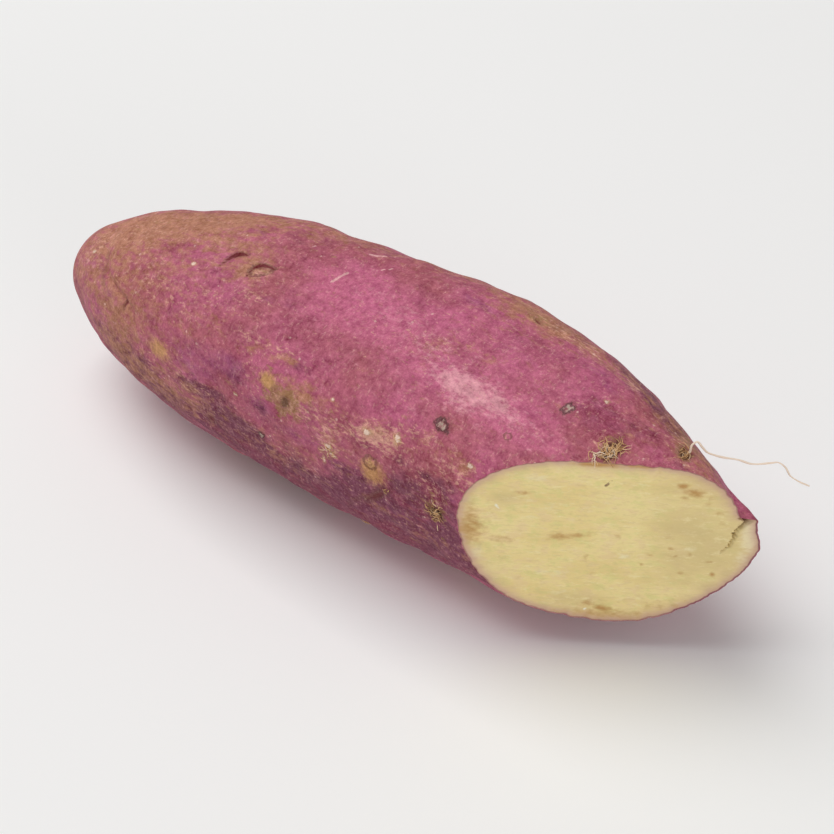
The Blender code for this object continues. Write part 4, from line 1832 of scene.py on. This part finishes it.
@dataclass(frozen=True)
class LongHair:
    """The one long root hair: from its eye over the edge, and out beyond the cut.

    Its way is given from its start, in millimetres: to the right of the picture, up it, and
    towards the camera.
    """

    station: float = 149.8
    degrees: float = -27.0
    way: tuple[Triple, ...] = (
        (-0.5, -0.3, -0.6), (0.3, 0.1, 0.2), (0.8, 1.6, 1.2), (1.7, 2.1, 1.2), (2.7, 1.1, 0.8),
        (3.6, 0.2, 0.3), (5.1, -0.4, 0.0), (6.7, -0.8, -0.3), (9.7, -1.3, -1.0),
        (11.9, -2.0, -1.5), (15.9, -1.9, -2.4), (17.3, -1.8, -2.8), (18.8, -2.8, -3.3),
        (19.7, -4.3, -3.8), (21.0, -5.2, -4.2), (23.5, -6.3, -5.0),
    )
    thickness: float = 0.44
    taper: float = 0.35
    uneven: float = 0.12
    swells: float = 41.0
    tone: float = 1.00
    joints: int = 120
    sides: int = 8

    def build(self, root: SweetPotatoRoot, right: Array, up: Array, near: Array) -> bpy.types.Object:
        """Carries a thin tapering tube along a smooth curve through the way's points.

        Args:
            root: the root that it grows from.
            right: the way to the picture's right.
            up: the way up the picture.
            near: the way towards the camera.

        Returns:
            The hair's object.
        """
        start = root.skin_frame(self.station, self.degrees)[0]
        way = np.array(self.way) * MM
        turns = start + way[:, :1] * right + way[:, 1:2] * up + way[:, 2:] * near
        walked = np.concatenate([[0], np.cumsum(np.linalg.norm(np.diff(turns, axis=0), axis=1))])
        at = np.linspace(0, walked[-1], self.joints)
        axes = [smooth_through(list(zip(walked, axis)), at) for axis in turns.T]
        path = np.stack(axes, axis=-1)
        share = at / walked[-1]
        thinner = 1 - self.taper * share + self.uneven * np.sin(share * self.swells)
        radius = self.thickness * MM / 2 * thinner
        points, faces = tube(path, radius, self.sides)
        tones = [self.tone] * len(points)
        return piece("long_root_hair", points, faces, {HairValue.TONE: tones})


@dataclass(frozen=True)
class Lamp:
    """A square soft light that faces the root."""

    name: str
    place: Triple
    side: float
    power: float

    def hang(self) -> None:
        """Makes the light, turned so that it looks at the frame's origin."""
        data = bpy.data.lights.new(self.name, "AREA")
        data.shape = "SQUARE"
        data.size = self.side
        data.energy = self.power
        lamp = linked(self.name, data)
        lamp.location = self.place
        lamp.rotation_mode = "QUATERNION"
        lamp.rotation_quaternion = (-Vector(self.place)).to_track_quat("-Z", "Y")


@dataclass(frozen=True)
class Studio:
    """The floor, the lights and the camera.

    One broad light hangs over the root's left, and the cut faces the other.
    """

    picture: float = 834.0
    turn: float = math.radians(38.5)
    height: float = math.radians(42.0)
    distance: float = 0.550
    target: Triple = (0.0898, 0.0, 0.027)
    pixels_per_metre: float = 4980.0
    sensor: float = 36.0
    clip: tuple[float, float] = (0.01, 20.0)
    floor_side: float = 6.0
    sky: Colour = (1.0, 0.99, 0.975)
    sky_strength: float = 0.30
    lamps: tuple[Lamp, ...] = (
        Lamp("overhead", (-0.92, -0.13, 1.80), 1.65, 30.5),
        Lamp("right", (0.93, -0.34, 0.10), 0.60, 4.4),
    )

    def near(self) -> Array:
        """The way from the target to the camera."""
        level = math.cos(self.height)
        sideways, back = math.sin(self.turn), -math.cos(self.turn)
        return np.array([level * sideways, level * back, math.sin(self.height)])

    def right(self) -> Array:
        """The way to the picture's right."""
        return np.array([math.cos(self.turn), math.sin(self.turn), 0.0])

    def up(self) -> Array:
        """The way up the picture."""
        return np.cross(self.near(), self.right())

    def place_camera(self, shift: Array) -> bpy.types.Object:
        """Looks down on the root from its front, turned towards the cut.

        Args:
            shift: the root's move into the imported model's frame.

        Returns:
            The camera.
        """
        data = bpy.data.cameras.new("camera")
        data.sensor_width = self.sensor
        data.lens = self.sensor * self.pixels_per_metre * self.distance / self.picture
        data.clip_start, data.clip_end = self.clip
        camera = linked("camera", data)
        target = np.array(self.target) + shift
        camera.location = Vector(target + self.near() * self.distance)
        camera.rotation_mode = "QUATERNION"
        camera.rotation_quaternion = Vector(-self.near()).to_track_quat("-Z", "Y")
        bpy.context.scene.camera = camera
        return camera

    def light(self) -> None:
        """Makes the pale sky and hangs the lamps."""
        world = bpy.data.worlds.new("studio")
        world.use_nodes = True
        background = world.node_tree.nodes["Background"]
        background.inputs["Color"].default_value = (*self.sky, 1.0)
        background.inputs["Strength"].default_value = self.sky_strength
        bpy.context.scene.world = world
        for lamp in self.lamps:
            lamp.hang()

    def lay_floor(self) -> bpy.types.Object:
        """Lays a flat square floor at the height that the root rests on.

        Returns:
            The floor.
        """
        half = self.floor_side / 2
        corners = np.array([(-half, -half, 0), (half, -half, 0), (half, half, 0), (-half, half, 0)])
        floor = piece("floor", corners, [[0, 1, 2, 3]], {})
        floor.data.materials.append(FloorFinish().build())
        return floor

    @staticmethod
    def set_view() -> None:
        """Shows the colours as they are, with no film curve."""
        bpy.context.scene.view_settings.view_transform = "Standard"
        bpy.context.scene.view_settings.look = "None"


def main() -> None:
    """Builds the root, its hairs and the studio round them."""
    logging.basicConfig(level=logging.INFO, format="%(message)s")
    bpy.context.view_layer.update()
    form, torn = RootForm(), TornEdge()
    root = SweetPotatoRoot(form, torn, RootGrid(), FineRelief())
    body = root.build()
    body.data.materials.append(SkinFinish().build())
    body.data.materials.append(FleshFinish().build(form.cut_turn))
    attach(body, BODY)
    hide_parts(NODE)
    LOG.info("%s: %d points", body.name, len(body.data.vertices))

    studio = Studio()
    hair_finish = HairFinish().build()
    tufts = RootHairs().build(root)
    long_hair = LongHair().build(root, studio.right(), studio.up(), studio.near())
    for hairs in (tufts, long_hair):
        hairs.data.materials.append(hair_finish)
        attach(hairs, BODY)
        LOG.info("%s: %d points", hairs.name, len(hairs.data.vertices))

    studio.lay_floor()
    studio.light()
    studio.place_camera(root.shift)
    studio.set_view()


if __name__ == "__main__":
    main()
